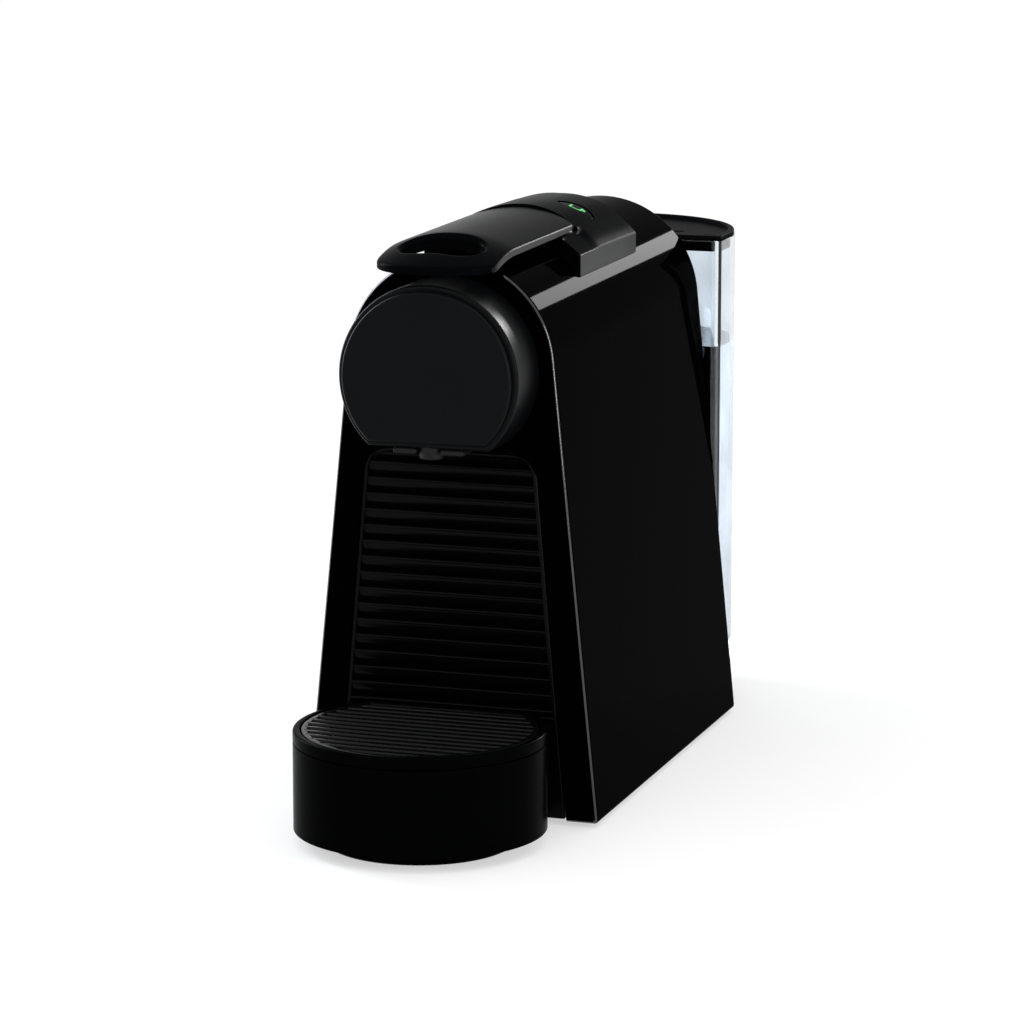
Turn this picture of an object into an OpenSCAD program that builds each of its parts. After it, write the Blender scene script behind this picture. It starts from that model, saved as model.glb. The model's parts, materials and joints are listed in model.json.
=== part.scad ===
// Pod coffee machine: an arch-shaped housing with a round brew head, a lever
// that clamps the capsule, a pull-out drip unit and a lift-off water tank.
// Z is up and the front faces -Y. Inside each node y is measured from the
// front face of the housing, and stand() moves it to the part's own frame.

/* [Housing] */
// Half of the housing's width on the floor
base_half_w = 55; // [50:0.5:60]
// Radius of the arched top
arch_r = 38.5; // [36:0.5:41]
// Height of the arch's centre
arch_z = 163.1; // [160:0.5:172]
// Length of the housing from front face to rear edge
body_len = 184; // [182:1:200]
// Wall of the housing
shell_t = 2.4; // [2:0.1:3]
// Gap between the housing's lower edge and the table
floor_gap = 1.5; // [1:0.1:2.5]

/* [Head] */
// Radius of the round head
head_r = 32.9; // [31:0.1:34.5]
// Height of the head's centre
head_z = 162; // [160:0.5:165]
// How far the head stands out of the housing, without its cap
head_len = 23.6; // [22:0.2:26]
// Thickness of the head's cap
cap_t = 2.7; // [2:0.1:4]
// Radius of the head's cap
cap_r = 30.9; // [29:0.1:31]
// Height of the flat under the head
head_flat_z = 137.5; // [136.5:0.1:139]
// Bore of the coffee spout
spout_bore = 5; // [3:0.5:6]

/* [Lever] */
// Half of the lever's width
lever_half_w = 22; // [20.5:0.5:22.5]
// Height of the lever's crown
lever_top = 209.6; // [208.6:0.1:210]
// Radius of the lever's crown from side to side
lever_crown_r = 50; // [46:1:60]
// Thickness of the lever's plate
lever_t = 3; // [2.4:0.1:3.6]
// How far the nose reaches in front of the housing
nose_reach = 28.5; // [26:0.5:31]
// Length of the finger hole, side to side
finger_w = 29; // [26:1:32]
// Length of the finger hole, front to back
finger_l = 19; // [17:1:21]
// Distance of the hinge pin behind the front face
hinge_y = 71; // [70:0.5:72]
// Height of the hinge pin
hinge_z = 200.5; // [200:0.1:201]
// Diameter of the hinge pin
hinge_d = 4; // [3:0.5:5]
// Angle that the lever opens
lever_open = 85; // [60:1:85]

/* [Console] */
// Half of the console's width
console_half_w = 29.8; // [28:0.2:31]
// Height of the console's crown
console_top = 210.5; // [210:0.1:213]
// Radius of the console's crown
console_crown_r = 52; // [50:1:60]
// Front of the console's ears
console_y0 = 58; // [54:1:60]
// Rear edge of the console
console_y1 = 128; // [124:1:130]
// Wall of the console
console_t = 2.2; // [1.8:0.1:2.6]
// Travel of the buttons
button_travel = 1.2; // [0.6:0.1:1.6]

/* [Brew unit] */
// Radius of the capsule cage
cage_r = 20; // [19.5:0.1:20.2]
// Length of the capsule cage
cage_len = 30; // [27:1:31]
// Travel of the capsule cage
cage_stroke = 30; // [26:0.5:30]
// Depth of the lug pin below the hinge pin
cam_drop = 15; // [14.6:0.1:15.6]
// Diameter of the pin that runs in the cam slots
cam_pin_d = 4; // [3:0.5:4.5]
// Running clearance beside a moving part
run = 0.3; // [0.2:0.05:0.4]

/* [Drip unit] */
// Radius of the round drip tray
tray_r = 44.5; // [42:0.5:46]
// Distance of the tray's centre in front of the housing
tray_y = 32.5; // [31:0.5:36]
// Height of the tray's rim
tray_top = 40.6; // [40:0.1:41]
// Height of the seam between drip tray and tray base
tray_seam = 36.2; // [34:0.2:37]
// Radius of the ring that the tray stands on
foot_r = 34; // [30:0.5:36]
// Height of the ring that the tray stands on
foot_h = 5; // [4:0.5:6]
// Wall of the tray
tray_t = 2.2; // [1.8:0.1:2.6]
// Thickness of the grid
grid_t = 2.4; // [2:0.1:3]
// Spacing of the grid's bars
grid_pitch = 5.2; // [4.8:0.1:6]
// Width of one grid bar
grid_bar = 2.6; // [2.2:0.1:3]
// Half of the ribbed panel's width, carried down to the floor
panel_half_w = 42.8; // [41:0.2:43.4]
// Top of the ribbed panel
panel_top = 132.4; // [130:0.2:132.6]
// Radius of the ribbed panel's upper corners
panel_corner_r = 9; // [6:0.5:12]
// Height of the lowest rib
rib_z0 = 42.2; // [41.5:0.1:44]
// Spacing of the ribs
rib_pitch = 5.74; // [5.4:0.02:5.78]
// Number of ribs
rib_count = 16; // [12:1:16]

/* [Water tank] */
// Outer radius of the round back of the tank
tank_r = 47; // [44:0.5:48]
// Straight depth of the tank before its round back
tank_straight = 15.2; // [14:0.2:20]
// Wall of the tank
tank_t = 2.2; // [1.8:0.1:2.8]
// Height of the tank's floor
tank_z0 = 12; // [11.5:0.5:16]
// Height of the tank's rim
tank_top = 185.4; // [180:0.2:188]
// Thickness of the lid above the rim
lid_t = 1.8; // [1.4:0.1:2.4]
// Clearance between the tank and the housing
tank_gap = 0.6; // [0.4:0.1:1]

/* [Hidden] */
$fn = 96;

tray_reach = tray_y + tray_r;
tank_y = body_len + tank_straight;
front_y = -(tank_y + tank_r - tray_reach) / 2;
clear = 0.15;
eps = 0.02;

// slope of the housing's flanks, from the tangent of the arch to the floor
flank_a = acos(arch_r / norm([base_half_w, arch_z])) - atan2(arch_z, base_half_w);
function flank_x(z, inset = 0) =
  (arch_r - inset - (z - arch_z) * sin(flank_a)) / cos(flank_a);
function arch_height(x, inset = 0) = arch_z + sqrt(pow(arch_r - inset, 2) - x * x);

panel_slope = 0.0857;
panel_a = atan(panel_slope);
function panel_x(z, grow = 0) = panel_half_w + grow / cos(panel_a) - panel_slope * z;

module stand() { translate([0, front_y, 0]) children(); }
// extrudes an outline drawn in X and Z from y0 to y1
module along_y(y0, y1) {
  translate([0, y1, 0]) rotate([90, 0, 0]) linear_extrude(y1 - y0) children();
}
// extrudes an outline drawn in Y and Z from x0 to x1
module along_x(x0, x1) {
  translate([x0, 0, 0]) rotate([90, 0, 90]) linear_extrude(x1 - x0) children();
}
module block(x0, x1, y0, y1, z0, z1) {
  translate([x0, y0, z0]) cube([x1 - x0, y1 - y0, z1 - z0]);
}
module both_sides() {
  children();
  mirror([1, 0, 0]) children();
}

// ---------------------------------------------------------------- housing
module arch_2d(inset, z0) {
  x_t = (arch_r - inset) * cos(flank_a);
  z_t = arch_z + (arch_r - inset) * sin(flank_a);
  translate([0, arch_z]) circle(r = arch_r - inset);
  polygon([[-flank_x(z0, inset), z0], [flank_x(z0, inset), z0], [x_t, z_t], [-x_t, z_t]]);
}
// outline of the ribbed panel, grown for its opening
module panel_2d(z0, z1, grow) {
  r = panel_corner_r + grow;
  zc = z1 - r;
  xc = panel_x(zc, grow) - r / cos(panel_a);
  x_t = xc + r * cos(panel_a);
  z_t = zc + r * sin(panel_a);
  polygon([[-panel_x(z0, grow), z0], [panel_x(z0, grow), z0], [x_t, z_t], [xc, z1],
           [-xc, z1], [-x_t, z_t]]);
  for (s = [-1, 1]) translate([s * xc, zc]) circle(r = r);
}
front_t = 3;
mouth_r = 24;
slot_half_w = 19;
slot_y0 = 9;
cam_half_w = 16.2;
cam_well_y1 = 99;
screw_d = 3;
screw_z = [30, 140];
function screw_x(z) = flank_x(z, shell_t) - 5;
module screw_places() {
  for (z = screw_z) both_sides() translate([screw_x(z), wall_y0, z]) rotate([90, 0, 0]) children();
}
module screw_bosses() {
  along_y(wall_y0 - 10, wall_y0 - clear) intersection() {
    arch_2d(shell_t - eps, floor_gap);
    for (s = [-1, 1], z = screw_z) translate([s * (screw_x(z) + 4) - 8, z - 4]) square([16, 8]);
  }
}
module housing() {
  color("#0b0b0d") stand() difference() {
    union() {
      difference() {
        along_y(0, body_len) arch_2d(0, floor_gap);
        along_y(front_t, body_len + 1) arch_2d(shell_t, floor_gap - 1);
      }
      screw_bosses();
    }
    screw_places() cylinder(d = screw_d + 0.1, h = 30, center = true);
    hinge_pocket();
    along_y(-1, front_t + 1) panel_2d(floor_gap - 1, panel_top + 0.8, 0.6);
    translate([0, 0, head_z]) rotate([90, 0, 0]) cylinder(r = mouth_r, h = 20, center = true);
    block(-slot_half_w, slot_half_w, slot_y0, hinge_y - cage_stroke - 3, arch_z + 20, arch_z + 60);
    block(-cam_half_w, cam_half_w, hinge_y - cage_stroke - 4, cam_well_y1, arch_z + 20, arch_z + 60);
  }
}
wall_y0 = body_len - 4;
module rear_wall() {
  color("#101012") stand() difference() {
    along_y(wall_y0, body_len - 1) arch_2d(shell_t + clear, floor_gap + base_t + clear);
    for (z = [60, 66, 72]) block(-18, 18, wall_y0 - 1, body_len, z, z + 2.4);
    screw_places() cylinder(d = screw_d + 0.1, h = 12, center = true);
  }
}
base_t = 3;
shelf_y0 = body_len - 4;
module tank_2d(inset) {
  y0 = body_len + tank_gap + inset;
  r = tank_r - inset;
  intersection() {
    translate([0, tank_y]) circle(r = r);
    translate([-r, tank_y]) square([2 * r, r]);
  }
  translate([-r, y0]) square([2 * r, tank_y - y0]);
}
valve_y = body_len + 34;
socket_r = 12;
inlet_y = body_len + 12;
inlet_z = 6.6;
inlet_d = 7.4;
module base_plate() {
  color("#101012") stand() difference() {
    union() {
      block(-flank_x(3, shell_t) + 0.4, flank_x(3, shell_t) - 0.4, 92, shelf_y0 + 4, floor_gap, floor_gap + base_t);
      for (s = [-1, 1]) block(s > 0 ? panel_half_w + 3 : -50.5, s > 0 ? 50.5 : -panel_half_w - 3, 4, 92.01, floor_gap, floor_gap + base_t);
      block(-tank_r + 4, tank_r - 4, shelf_y0 + 3.9, body_len + tank_gap, floor_gap, floor_gap + base_t);
    }
  }
}
// the shelf that carries the tank, with a round seat for its socket
module tank_shelf() {
  color("#101012") stand() difference() {
    translate([0, 0, floor_gap]) linear_extrude(tank_z0 - floor_gap - 0.4) tank_2d(0.8);
    translate([0, valve_y, 0]) cylinder(r = socket_r + 0.2, h = 20);
    translate([34, inlet_y, inlet_z]) rotate([0, 90, 0]) cylinder(d = inlet_d, h = 20);
  }
}
module feet() {
  color("#1b1b1b") stand() for (p = [[-46, 30], [46, 30], [-44, 150], [44, 150]])
    translate([p[0], p[1], 0]) cylinder(r = 4.2, h = floor_gap);
  color("#1b1b1b") stand() for (s = [-1, 1])
    translate([s * 26, body_len + 38, 0]) cylinder(r = 6, h = floor_gap);
}
module housing_screws() {
  color("silver") stand() translate([0, 3 + 0.05, 0]) screw_places() {
    cylinder(d = screw_d, h = 11);
    translate([0, 0, -1.3]) cylinder(d = 6, h = 1.3);
  }
}
module cord_inlet() {
  color("#141414") stand() translate([0, inlet_y, inlet_z]) rotate([0, 90, 0])
    difference() {
      union() {
        translate([0, 0, 36]) cylinder(d = inlet_d - 2 * clear, h = tank_r - 0.8 - 36);
        translate([0, 0, tank_r - 0.8]) cylinder(d = inlet_d + 1.6, h = 1.2);
      }
      translate([0, 0, 30]) cylinder(d = 5.4, h = 30);
    }
}

// ------------------------------------------------------------------- head
module head_2d(r, flat) {
  intersection() {
    translate([0, head_z]) circle(r = r);
    translate([-60, flat]) square([120, 100]);
  }
}
spout_y = -19;
spout_r = 4.3;
spout_bottom = 133.4;
module head_drum() {
  color("#1c1d20") stand() difference() {
    along_y(-head_len, 0) head_2d(head_r, head_flat_z);
    along_y(-head_len - 1, -3) head_2d(head_r - 2.6, head_flat_z + 2.6);
    along_y(-4, 1) translate([0, head_z]) circle(r = 22);
    translate([0, spout_y, 120]) cylinder(r = spout_r + clear, h = 30);
  }
}
module head_cap() {
  color("#1f2024") stand() union() {
    along_y(-head_len - cap_t, -head_len - 0.2) head_2d(cap_r, head_flat_z);
    along_y(-head_len - 0.2 - eps, -head_len + 3) difference() {
      head_2d(head_r - 2.8, head_z);
      head_2d(head_r - 5.4, head_z - 1);
    }
  }
}
module coffee_spout() {
  color("#151517") stand() difference() {
    union() {
      translate([0, spout_y, spout_bottom]) cylinder(r = spout_r, h = head_z - 6 - spout_bottom);
      translate([0, spout_y, head_z - 12]) rotate([-90, 0, 0]) cylinder(r = spout_r, h = front_t + 0.1 - spout_y);
      block(-13, 13, spout_y - 4.4, spout_y + 9, head_flat_z - 2.2, head_flat_z - 0.05);
    }
    translate([0, spout_y, spout_bottom - 1]) cylinder(d = spout_bore, h = 20);
    translate([0, spout_y, head_z - 12]) rotate([-90, 0, 0]) cylinder(d = spout_bore, h = 40);
    translate([0, spout_y, spout_bottom + 10]) cylinder(d = spout_bore, h = head_z - 12 - spout_bottom - 10);
  }
}

// ---------------------------------------------------------------- console
// The lever's rear edge follows its crown, so that it turns clear of the console
hub_r = 6.6;
turn_gap = 0.5;
rear_arc_y = hinge_y + lever_top - hinge_z - lever_crown_r;
function lever_top_z(x) = lever_top - lever_crown_r + sqrt(lever_crown_r * lever_crown_r - x * x);
function sweep_r(x) = max(sqrt(2) * (lever_top_z(x) - hinge_z), hub_r) + turn_gap;
notch_half_w = lever_half_w + 0.7;
module hinge_pocket() {
  steps = 8;
  xs = [for (i = [-steps:steps]) i * lever_half_w / steps];
  translate([0, hinge_y, hinge_z]) rotate([0, 90, 0]) rotate_extrude()
    polygon(concat([[0, -notch_half_w]], [[sweep_r(lever_half_w), -notch_half_w]],
      [for (x = xs) [sweep_r(x), x]],
      [[sweep_r(lever_half_w), notch_half_w]], [[0, notch_half_w]]));
}
module console_2d(inset) {
  intersection() {
    translate([0, console_top - console_crown_r]) circle(r = console_crown_r - inset);
    translate([-console_half_w + inset, arch_z]) square([2 * (console_half_w - inset), 60]);
  }
}
button_x = 14.5;
button_y = 102;
button_a = 7.4;
button_b = 4.6;
module button_2d(grow) {
  r = button_b + grow;
  for (s = [-1, 1]) translate([s * (button_a - button_b), 0]) circle(r = r);
  translate([-(button_a - button_b), -r]) square([2 * (button_a - button_b), 2 * r]);
}
module top_console() {
  color("#141518") stand() difference() {
    along_y(console_y0, console_y1) console_2d(0);
    along_y(console_y0 - 1, console_y1 + 1) arch_2d(-clear, 100);
    along_y(hinge_y + 4, console_y1 - console_t) intersection() {
      console_2d(console_t);
      translate([-30, arch_z]) square([60, 60]);
    }
    block(-notch_half_w, notch_half_w, console_y0 - 1, hinge_y, arch_z, arch_z + 60);
    translate([0, 0, hinge_z]) linear_extrude(40) intersection() {
      translate([0, rear_arc_y]) circle(r = lever_crown_r + turn_gap);
      translate([-notch_half_w, hinge_y - 1]) square([2 * notch_half_w, 40]);
    }
    hinge_pocket();
    block(-cam_half_w, cam_half_w, hinge_y - 1, cam_well_y1 - 4, arch_z, hinge_z + 6);
    translate([0, hinge_y, hinge_z]) rotate([0, 90, 0]) cylinder(d = hinge_d, h = 2 * pin_half, center = true);
    for (s = [-1, 1]) translate([s * button_x, button_y, arch_z]) linear_extrude(60) button_2d(0.35);
  }
}
pin_half = 26;
module lever_pin() {
  color("silver") stand() translate([0, hinge_y, hinge_z]) rotate([0, 90, 0])
    cylinder(d = hinge_d, h = 2 * pin_half, center = true);
}
button_z = 204.9;
module cup_button(side, gap) {
  stand() intersection() {
    translate([side * button_x, button_y, button_z]) linear_extrude(20) button_2d(0);
    along_y(button_y - 20, button_y + 20) console_2d(gap);
  }
}
module small_cup_button() { color("#0c0c0e") cup_button(-1, 0.3); }
module large_cup_button() { color("#0c0c0e") cup_button(1, 0.3); }
board_z = arch_height(0) + 0.3;
module control_board() {
  color("#1d5a34") stand() {
    block(-20, 20, 98.2, console_y1 - console_t - 0.2, board_z, board_z + 1.2);
  }
}
module button_switches() {
  color("#cfcfcf") stand() for (s = [-1, 1])
    translate([s * button_x, button_y, board_z + 1.2]) cylinder(d = 4, h = 0.5);
}

// ------------------------------------------------------------------ lever
droop_r = 85;
droop_y = 8;
module lever_profile(t) {
  // drawn with X as height above the droop's centre, and Y as the lever's width
  c = droop_r - lever_crown_r;
  intersection() {
    difference() {
      translate([c, 0]) circle(r = lever_crown_r);
      translate([c - t, 0]) circle(r = lever_crown_r);
    }
    translate([c, -lever_half_w]) square([lever_crown_r + 1, 2 * lever_half_w]);
  }
}
module lever_plan() {
  nose_r = 24;
  intersection() {
    translate([0, nose_r - nose_reach]) circle(r = nose_r);
    translate([-lever_half_w, -40]) square([2 * lever_half_w, 60]);
  }
  intersection() {
    translate([-lever_half_w, nose_r - nose_reach]) square([2 * lever_half_w, 100]);
    union() {
      translate([0, rear_arc_y]) circle(r = lever_crown_r);
      translate([-lever_half_w, -10]) square([2 * lever_half_w, 50]);
    }
  }
}
finger_y = -7.5;
module finger_2d() {
  r = finger_l / 2;
  for (s = [-1, 1]) translate([s * (finger_w / 2 - r), finger_y]) circle(r = r);
  translate([-(finger_w / 2 - r), finger_y - r]) square([finger_w - 2 * r, finger_l]);
}
module lever() {
  color("#17181b") stand() difference() {
    union() {
      intersection() {
        union() {
          along_y(droop_y, hinge_y + 20) translate([0, lever_top - droop_r]) rotate(90) lever_profile(lever_t);
          translate([0, droop_y, lever_top - droop_r]) rotate([180, -90, 0])
            rotate_extrude(angle = 28) lever_profile(lever_t);
        }
        linear_extrude(300) lever_plan();
      }
      intersection() {
        translate([0, hinge_y, hinge_z]) rotate([0, 90, 0])
          cylinder(r = hub_r, h = 2 * lever_half_w, center = true);
        along_y(hinge_y - 20, hinge_y + 20) translate([0, lever_top - lever_crown_r]) circle(r = lever_crown_r);
        translate([0, 0, hinge_z - 10]) linear_extrude(40) lever_plan();
      }
    }
    linear_extrude(300) finger_2d();
    translate([0, hinge_y, hinge_z]) rotate([0, 90, 0])
      cylinder(d = hinge_d + 0.1, h = 100, center = true);
    both_sides() block(cam_x, cam_x + cam_t, hinge_y - 20, hinge_y + 20, hinge_z - 10, hinge_z + 3.2);
  }
}
cam_x = 12;
cam_t = 3;
// Path of the cage's pin, seen from the lever, while the lever opens
cam_start = -(cage_stroke + 2);
function cam_pt(a) = let (y = cam_start + cage_stroke * a / lever_open, z = -cam_drop)
  [y * cos(a) - z * sin(a), y * sin(a) + z * cos(a)];
function cam_dir(a) = let (d = cam_pt(a + 0.5) - cam_pt(a - 0.5)) d / norm(d);
function cam_side(a, w) = cam_pt(a) + w * [-cam_dir(a)[1], cam_dir(a)[0]];
cam_steps = 24;
cam_angles = [for (i = [0:cam_steps]) i * lever_open / cam_steps];
module cam_slot(w) {
  n = cam_steps;
  polygon(concat([for (a = cam_angles) cam_side(a, w)],
    [for (i = [0:n]) cam_side(cam_angles[n - i], -w)]));
  for (a = [0, lever_open]) translate(cam_pt(a)) circle(r = w);
}
module cam_2d() {
  difference() {
    union() {
      cam_slot(cam_pin_d / 2 + 3);
      polygon(concat([[0, 3.1], [-3.1, 2]], [for (a = cam_angles) cam_pt(a)], [[3.1, 2]]));
    }
    cam_slot(cam_pin_d / 2 + 0.2);
    circle(d = hinge_d + 0.1);
  }
}
module lever_cams() {
  color("#8a8d92") stand() both_sides()
    translate([0, hinge_y, hinge_z]) along_x(cam_x, cam_x + cam_t) cam_2d();
}

// -------------------------------------------------------------- brew unit
frame_x = cage_r + 0.6;
frame_t = 3;
cage_y = 10.2;
tongue = 3;
module brew_frame() {
  color("#26272b") stand() difference() {
    union() {
      both_sides() block(frame_x, frame_x + frame_t, front_t + 0.2, 96, head_z - 24, head_z + 21);
      block(-frame_x - eps, frame_x + eps, front_t + 0.2, 7, head_z - 22, head_z + 19);
      block(-frame_x - eps, frame_x + eps, 90, 94, head_z - 24, head_z - 4);
    }
    translate([0, 0, head_z - 12]) rotate([90, 0, 0]) cylinder(r = 3.2, h = 40, center = true);
    both_sides() block(frame_x - 1, frame_x + frame_t + 1, cage_y + 3 - run, cage_y + cage_len + cage_stroke + 1,
      head_z - tongue - run, head_z + tongue + run);
  }
}
module pierce_plate() {
  color("silver") stand() difference() {
    translate([0, 0, head_z]) rotate([90, 0, 0]) translate([0, 0, -9]) cylinder(r = 18, h = 2);
    for (i = [-2:2], j = [-2:2]) translate([i * 6, 0, head_z + j * 6]) rotate([90, 0, 0])
      cylinder(r = 0.8, h = 40, center = true, $fn = 16);
  }
}
module plate_seal() {
  color("#3a3a3a") stand() translate([0, 7, head_z]) rotate([-90, 0, 0]) difference() {
    cylinder(r = 19.5, h = 2.6);
    translate([0, 0, -1]) cylinder(r = 18.05, h = 6);
  }
}
lug_half = 10;
pin_z = hinge_z - cam_drop;
cam_pin_y = hinge_y + cam_start;
module capsule_cage() {
  color("#2d2e33") stand() difference() {
    union() {
      translate([0, cage_y, head_z]) rotate([-90, 0, 0]) cylinder(r = cage_r, h = cage_len);
      both_sides() block(cage_r - 3, frame_x + frame_t - 0.4, cage_y + 3, cage_y + cage_len - 3,
        head_z - tongue, head_z + tongue);
      block(-lug_half, lug_half, cam_pin_y - 5, cam_pin_y + 5, head_z + 10, pin_z + 4.5);
    }
    translate([0, cage_y - 1, head_z]) rotate([-90, 0, 0]) cylinder(r = 15.2, h = cage_len - 3);
    translate([0, cam_pin_y, pin_z]) rotate([0, 90, 0]) cylinder(d = cam_pin_d, h = 60, center = true);
    for (a = [0:120:359]) translate([0, cage_y, head_z]) rotate([0, a, 0]) translate([0, 0, 8])
      rotate([-90, 0, 0]) cylinder(d = 2, h = 60, $fn = 24);
  }
}
module cage_pin() {
  color("silver") stand() translate([0, cam_pin_y, pin_z]) rotate([0, 90, 0])
    cylinder(d = cam_pin_d, h = 33, center = true);
}
module injector_needles() {
  color("silver") stand() for (a = [0:120:359]) translate([0, cage_y, head_z]) rotate([0, a, 0])
    translate([0, cage_len - 8, 8]) rotate([-90, 0, 0]) {
      translate([0, 0, -3]) cylinder(d1 = 0.4, d2 = 2, h = 3, $fn = 24);
      cylinder(d = 2, h = 8, $fn = 24);
    }
}

// ------------------------------------------------------------ water works
pump_x = -16;
pump_z = 42;
pump_y1 = 154;
pump_tip = 6;
module pump() {
  color("#b08d3c") stand() union() {
    translate([pump_x, 108, pump_z]) rotate([-90, 0, 0]) cylinder(r = 16, h = 34);
    translate([pump_x, 98, pump_z]) rotate([-90, 0, 0]) cylinder(r = 8, h = 10.01);
    translate([pump_x, 142 - eps, pump_z]) rotate([-90, 0, 0]) cylinder(r = 8, h = pump_y1 - 142 + eps);
    translate([pump_x, pump_y1 - eps, pump_z]) rotate([-90, 0, 0]) cylinder(r = 3, h = pump_tip + eps);
  }
}
module pump_mounts() {
  color("#2a2a2a") stand() for (y = [99, 145]) translate([pump_x, y, pump_z]) rotate([-90, 0, 0])
    difference() {
      cylinder(r = 13, h = 6);
      translate([0, 0, -1]) cylinder(r = 8, h = 10);
    }
}
module pump_bracket() {
  color("#26272b") stand() difference() {
    for (y = [99.4, 145.4]) block(pump_x - 18, pump_x + 18, y, y + 5, floor_gap + base_t, pump_z + 4);
    translate([pump_x, 90, pump_z]) rotate([-90, 0, 0]) cylinder(r = 13, h = 90);
  }
}
block_z0 = 88;
port_z = block_z0 + 10;
hot_x = 16;
module thermoblock() {
  color("#9a9da1") stand() union() {
    translate([0, 140, block_z0]) cylinder(r = 27, h = 34);
    translate([hot_x, 122, port_z]) rotate([90, 0, 0]) cylinder(r = 3, h = 16);
    translate([pump_x, 122, port_z]) rotate([90, 0, 0]) cylinder(r = 3, h = 16);
  }
}
module thermoblock_stand() {
  z0 = floor_gap + base_t;
  color("#26272b") stand() union() {
    block(-42, 34, 122, 158, block_z0 - 3, block_z0);
    block(-42, -39, 122, 158, z0, block_z0 - 3 + eps);
    block(31, 34, 122, 148, z0, block_z0 - 3 + eps);
  }
}
meter_x = 30;
meter_y = 166;
meter_port_z = 12;
meter_reach = 16;
hose_r = 3;
module flow_meter() {
  color("#e8e6df") stand() union() {
    translate([meter_x, meter_y, floor_gap + base_t]) cylinder(r = 12, h = 14);
    translate([meter_x, meter_y, meter_port_z]) rotate([-90, 0, 0]) cylinder(r = 2.6, h = wall_y0 - meter_y - 0.2);
    translate([meter_x, meter_y, meter_port_z]) rotate([0, -90, 0]) cylinder(r = 2.6, h = meter_reach);
  }
}
// a round joint where two straight lengths of hose meet
module hose_knee(p) { translate(p) sphere(r = hose_r + 0.1); }
module suction_hose() {
  color("#d9d9d2") stand() union() {
    translate([pump_x, pump_y1 + pump_tip + 0.02, pump_z]) rotate([-90, 0, 0])
      cylinder(r = hose_r, h = meter_y - pump_y1 - pump_tip - 0.02);
    hose_knee([pump_x, meter_y, pump_z]);
    translate([pump_x, meter_y, meter_port_z]) cylinder(r = hose_r, h = pump_z - meter_port_z);
    hose_knee([pump_x, meter_y, meter_port_z]);
    translate([pump_x, meter_y, meter_port_z]) rotate([0, 90, 0])
      cylinder(r = hose_r, h = meter_x - meter_reach - 0.02 - pump_x);
  }
}
module delivery_hose() {
  y = 89.4;
  color("#d9d9d2") stand() union() {
    translate([pump_x, y, pump_z]) rotate([-90, 0, 0]) cylinder(r = hose_r, h = 97.98 - y);
    hose_knee([pump_x, y, pump_z]);
    translate([pump_x, y, pump_z]) cylinder(r = hose_r, h = port_z - pump_z);
    hose_knee([pump_x, y, port_z]);
    translate([pump_x, y, port_z]) rotate([-90, 0, 0]) cylinder(r = hose_r, h = 105.98 - y);
  }
}
module hot_hose() {
  y = 102;
  top = head_z - 16;
  color("#d9d9d2") stand() union() {
    translate([hot_x, y, port_z]) rotate([-90, 0, 0]) cylinder(r = hose_r, h = 105.98 - y);
    hose_knee([hot_x, y, port_z]);
    translate([hot_x, y, port_z]) cylinder(r = hose_r, h = top - port_z);
    hose_knee([hot_x, y, top]);
    translate([hot_x, 94.02, top]) rotate([-90, 0, 0]) cylinder(r = hose_r, h = y - 94.02);
  }
}
module power_board() {
  color("#1d5a34") stand() union() {
    block(-24, 24, wall_y0 - 3.2, wall_y0 - 1.6, 86, 150);
    for (x = [-16, 0, 16]) block(x - 5, x + 5, wall_y0 - 9, wall_y0 - 3.15, 126, 140);
    for (s = [-1, 1]) translate([s * 20, wall_y0 - 1.65, 145]) rotate([-90, 0, 0]) cylinder(r = 2, h = 1.65);
  }
}
bore_r = 8;
socket_z0 = floor_gap + 0.5;
module tank_socket() {
  color("#26272b") stand() translate([0, valve_y, 0]) difference() {
    translate([0, 0, socket_z0]) cylinder(r = socket_r, h = tank_z0 - socket_z0 - 0.6);
    cylinder(r = bore_r, h = 30);
  }
}
// closes the socket from below and holds the pin that lifts the valve
module socket_floor() {
  color("#26272b") stand() translate([0, valve_y, 0]) difference() {
    union() {
      translate([0, 0, socket_z0]) cylinder(r = bore_r - clear, h = 3);
      translate([0, 0, socket_z0 + 2.9]) cylinder(r = 1.6, h = 8.9 - socket_z0 - 2.9);
    }
    translate([4.6, 0, 0]) cylinder(r = 1, h = 20);
  }
}
module socket_seal() {
  color("#a33") stand() translate([0, valve_y, 9]) rotate_extrude() translate([spigot_r + 0.25, 0])
    square([bore_r - spigot_r - 0.3, 1.8]);
}

// -------------------------------------------------------------- drip unit
module tray_2d(inset) {
  intersection() {
    translate([0, -tray_y]) circle(r = tray_r - inset);
    translate([-60, -100]) square([120, 100 - inset]);
  }
}
base_fillet = 8;
module tray_base() {
  color("#131315") stand() difference() {
    intersection() {
      translate([0, -tray_y, 0]) rotate_extrude() union() {
        translate([0, foot_h + base_fillet]) square([tray_r, tray_seam - foot_h - base_fillet]);
        translate([0, foot_h]) square([tray_r - base_fillet, base_fillet + 1]);
        intersection() {
          translate([tray_r - base_fillet, foot_h + base_fillet]) circle(r = base_fillet);
          square([tray_r, foot_h + base_fillet + 1]);
        }
        square([foot_r, foot_h + 1]);
      }
      block(-60, 60, -100, 0, 0, 100);
    }
    intersection() {
      translate([0, -tray_y, foot_h + tray_t]) cylinder(r = foot_r - 1, h = 50);
      block(-60, 60, -100, -tray_t, 0, 100);
    }
    translate([0, 0, foot_h + base_fillet]) linear_extrude(50) tray_2d(tray_t);
  }
}
grid_z = tray_top - grid_t - 0.2;
tray_in = tray_t + 0.5;
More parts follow.
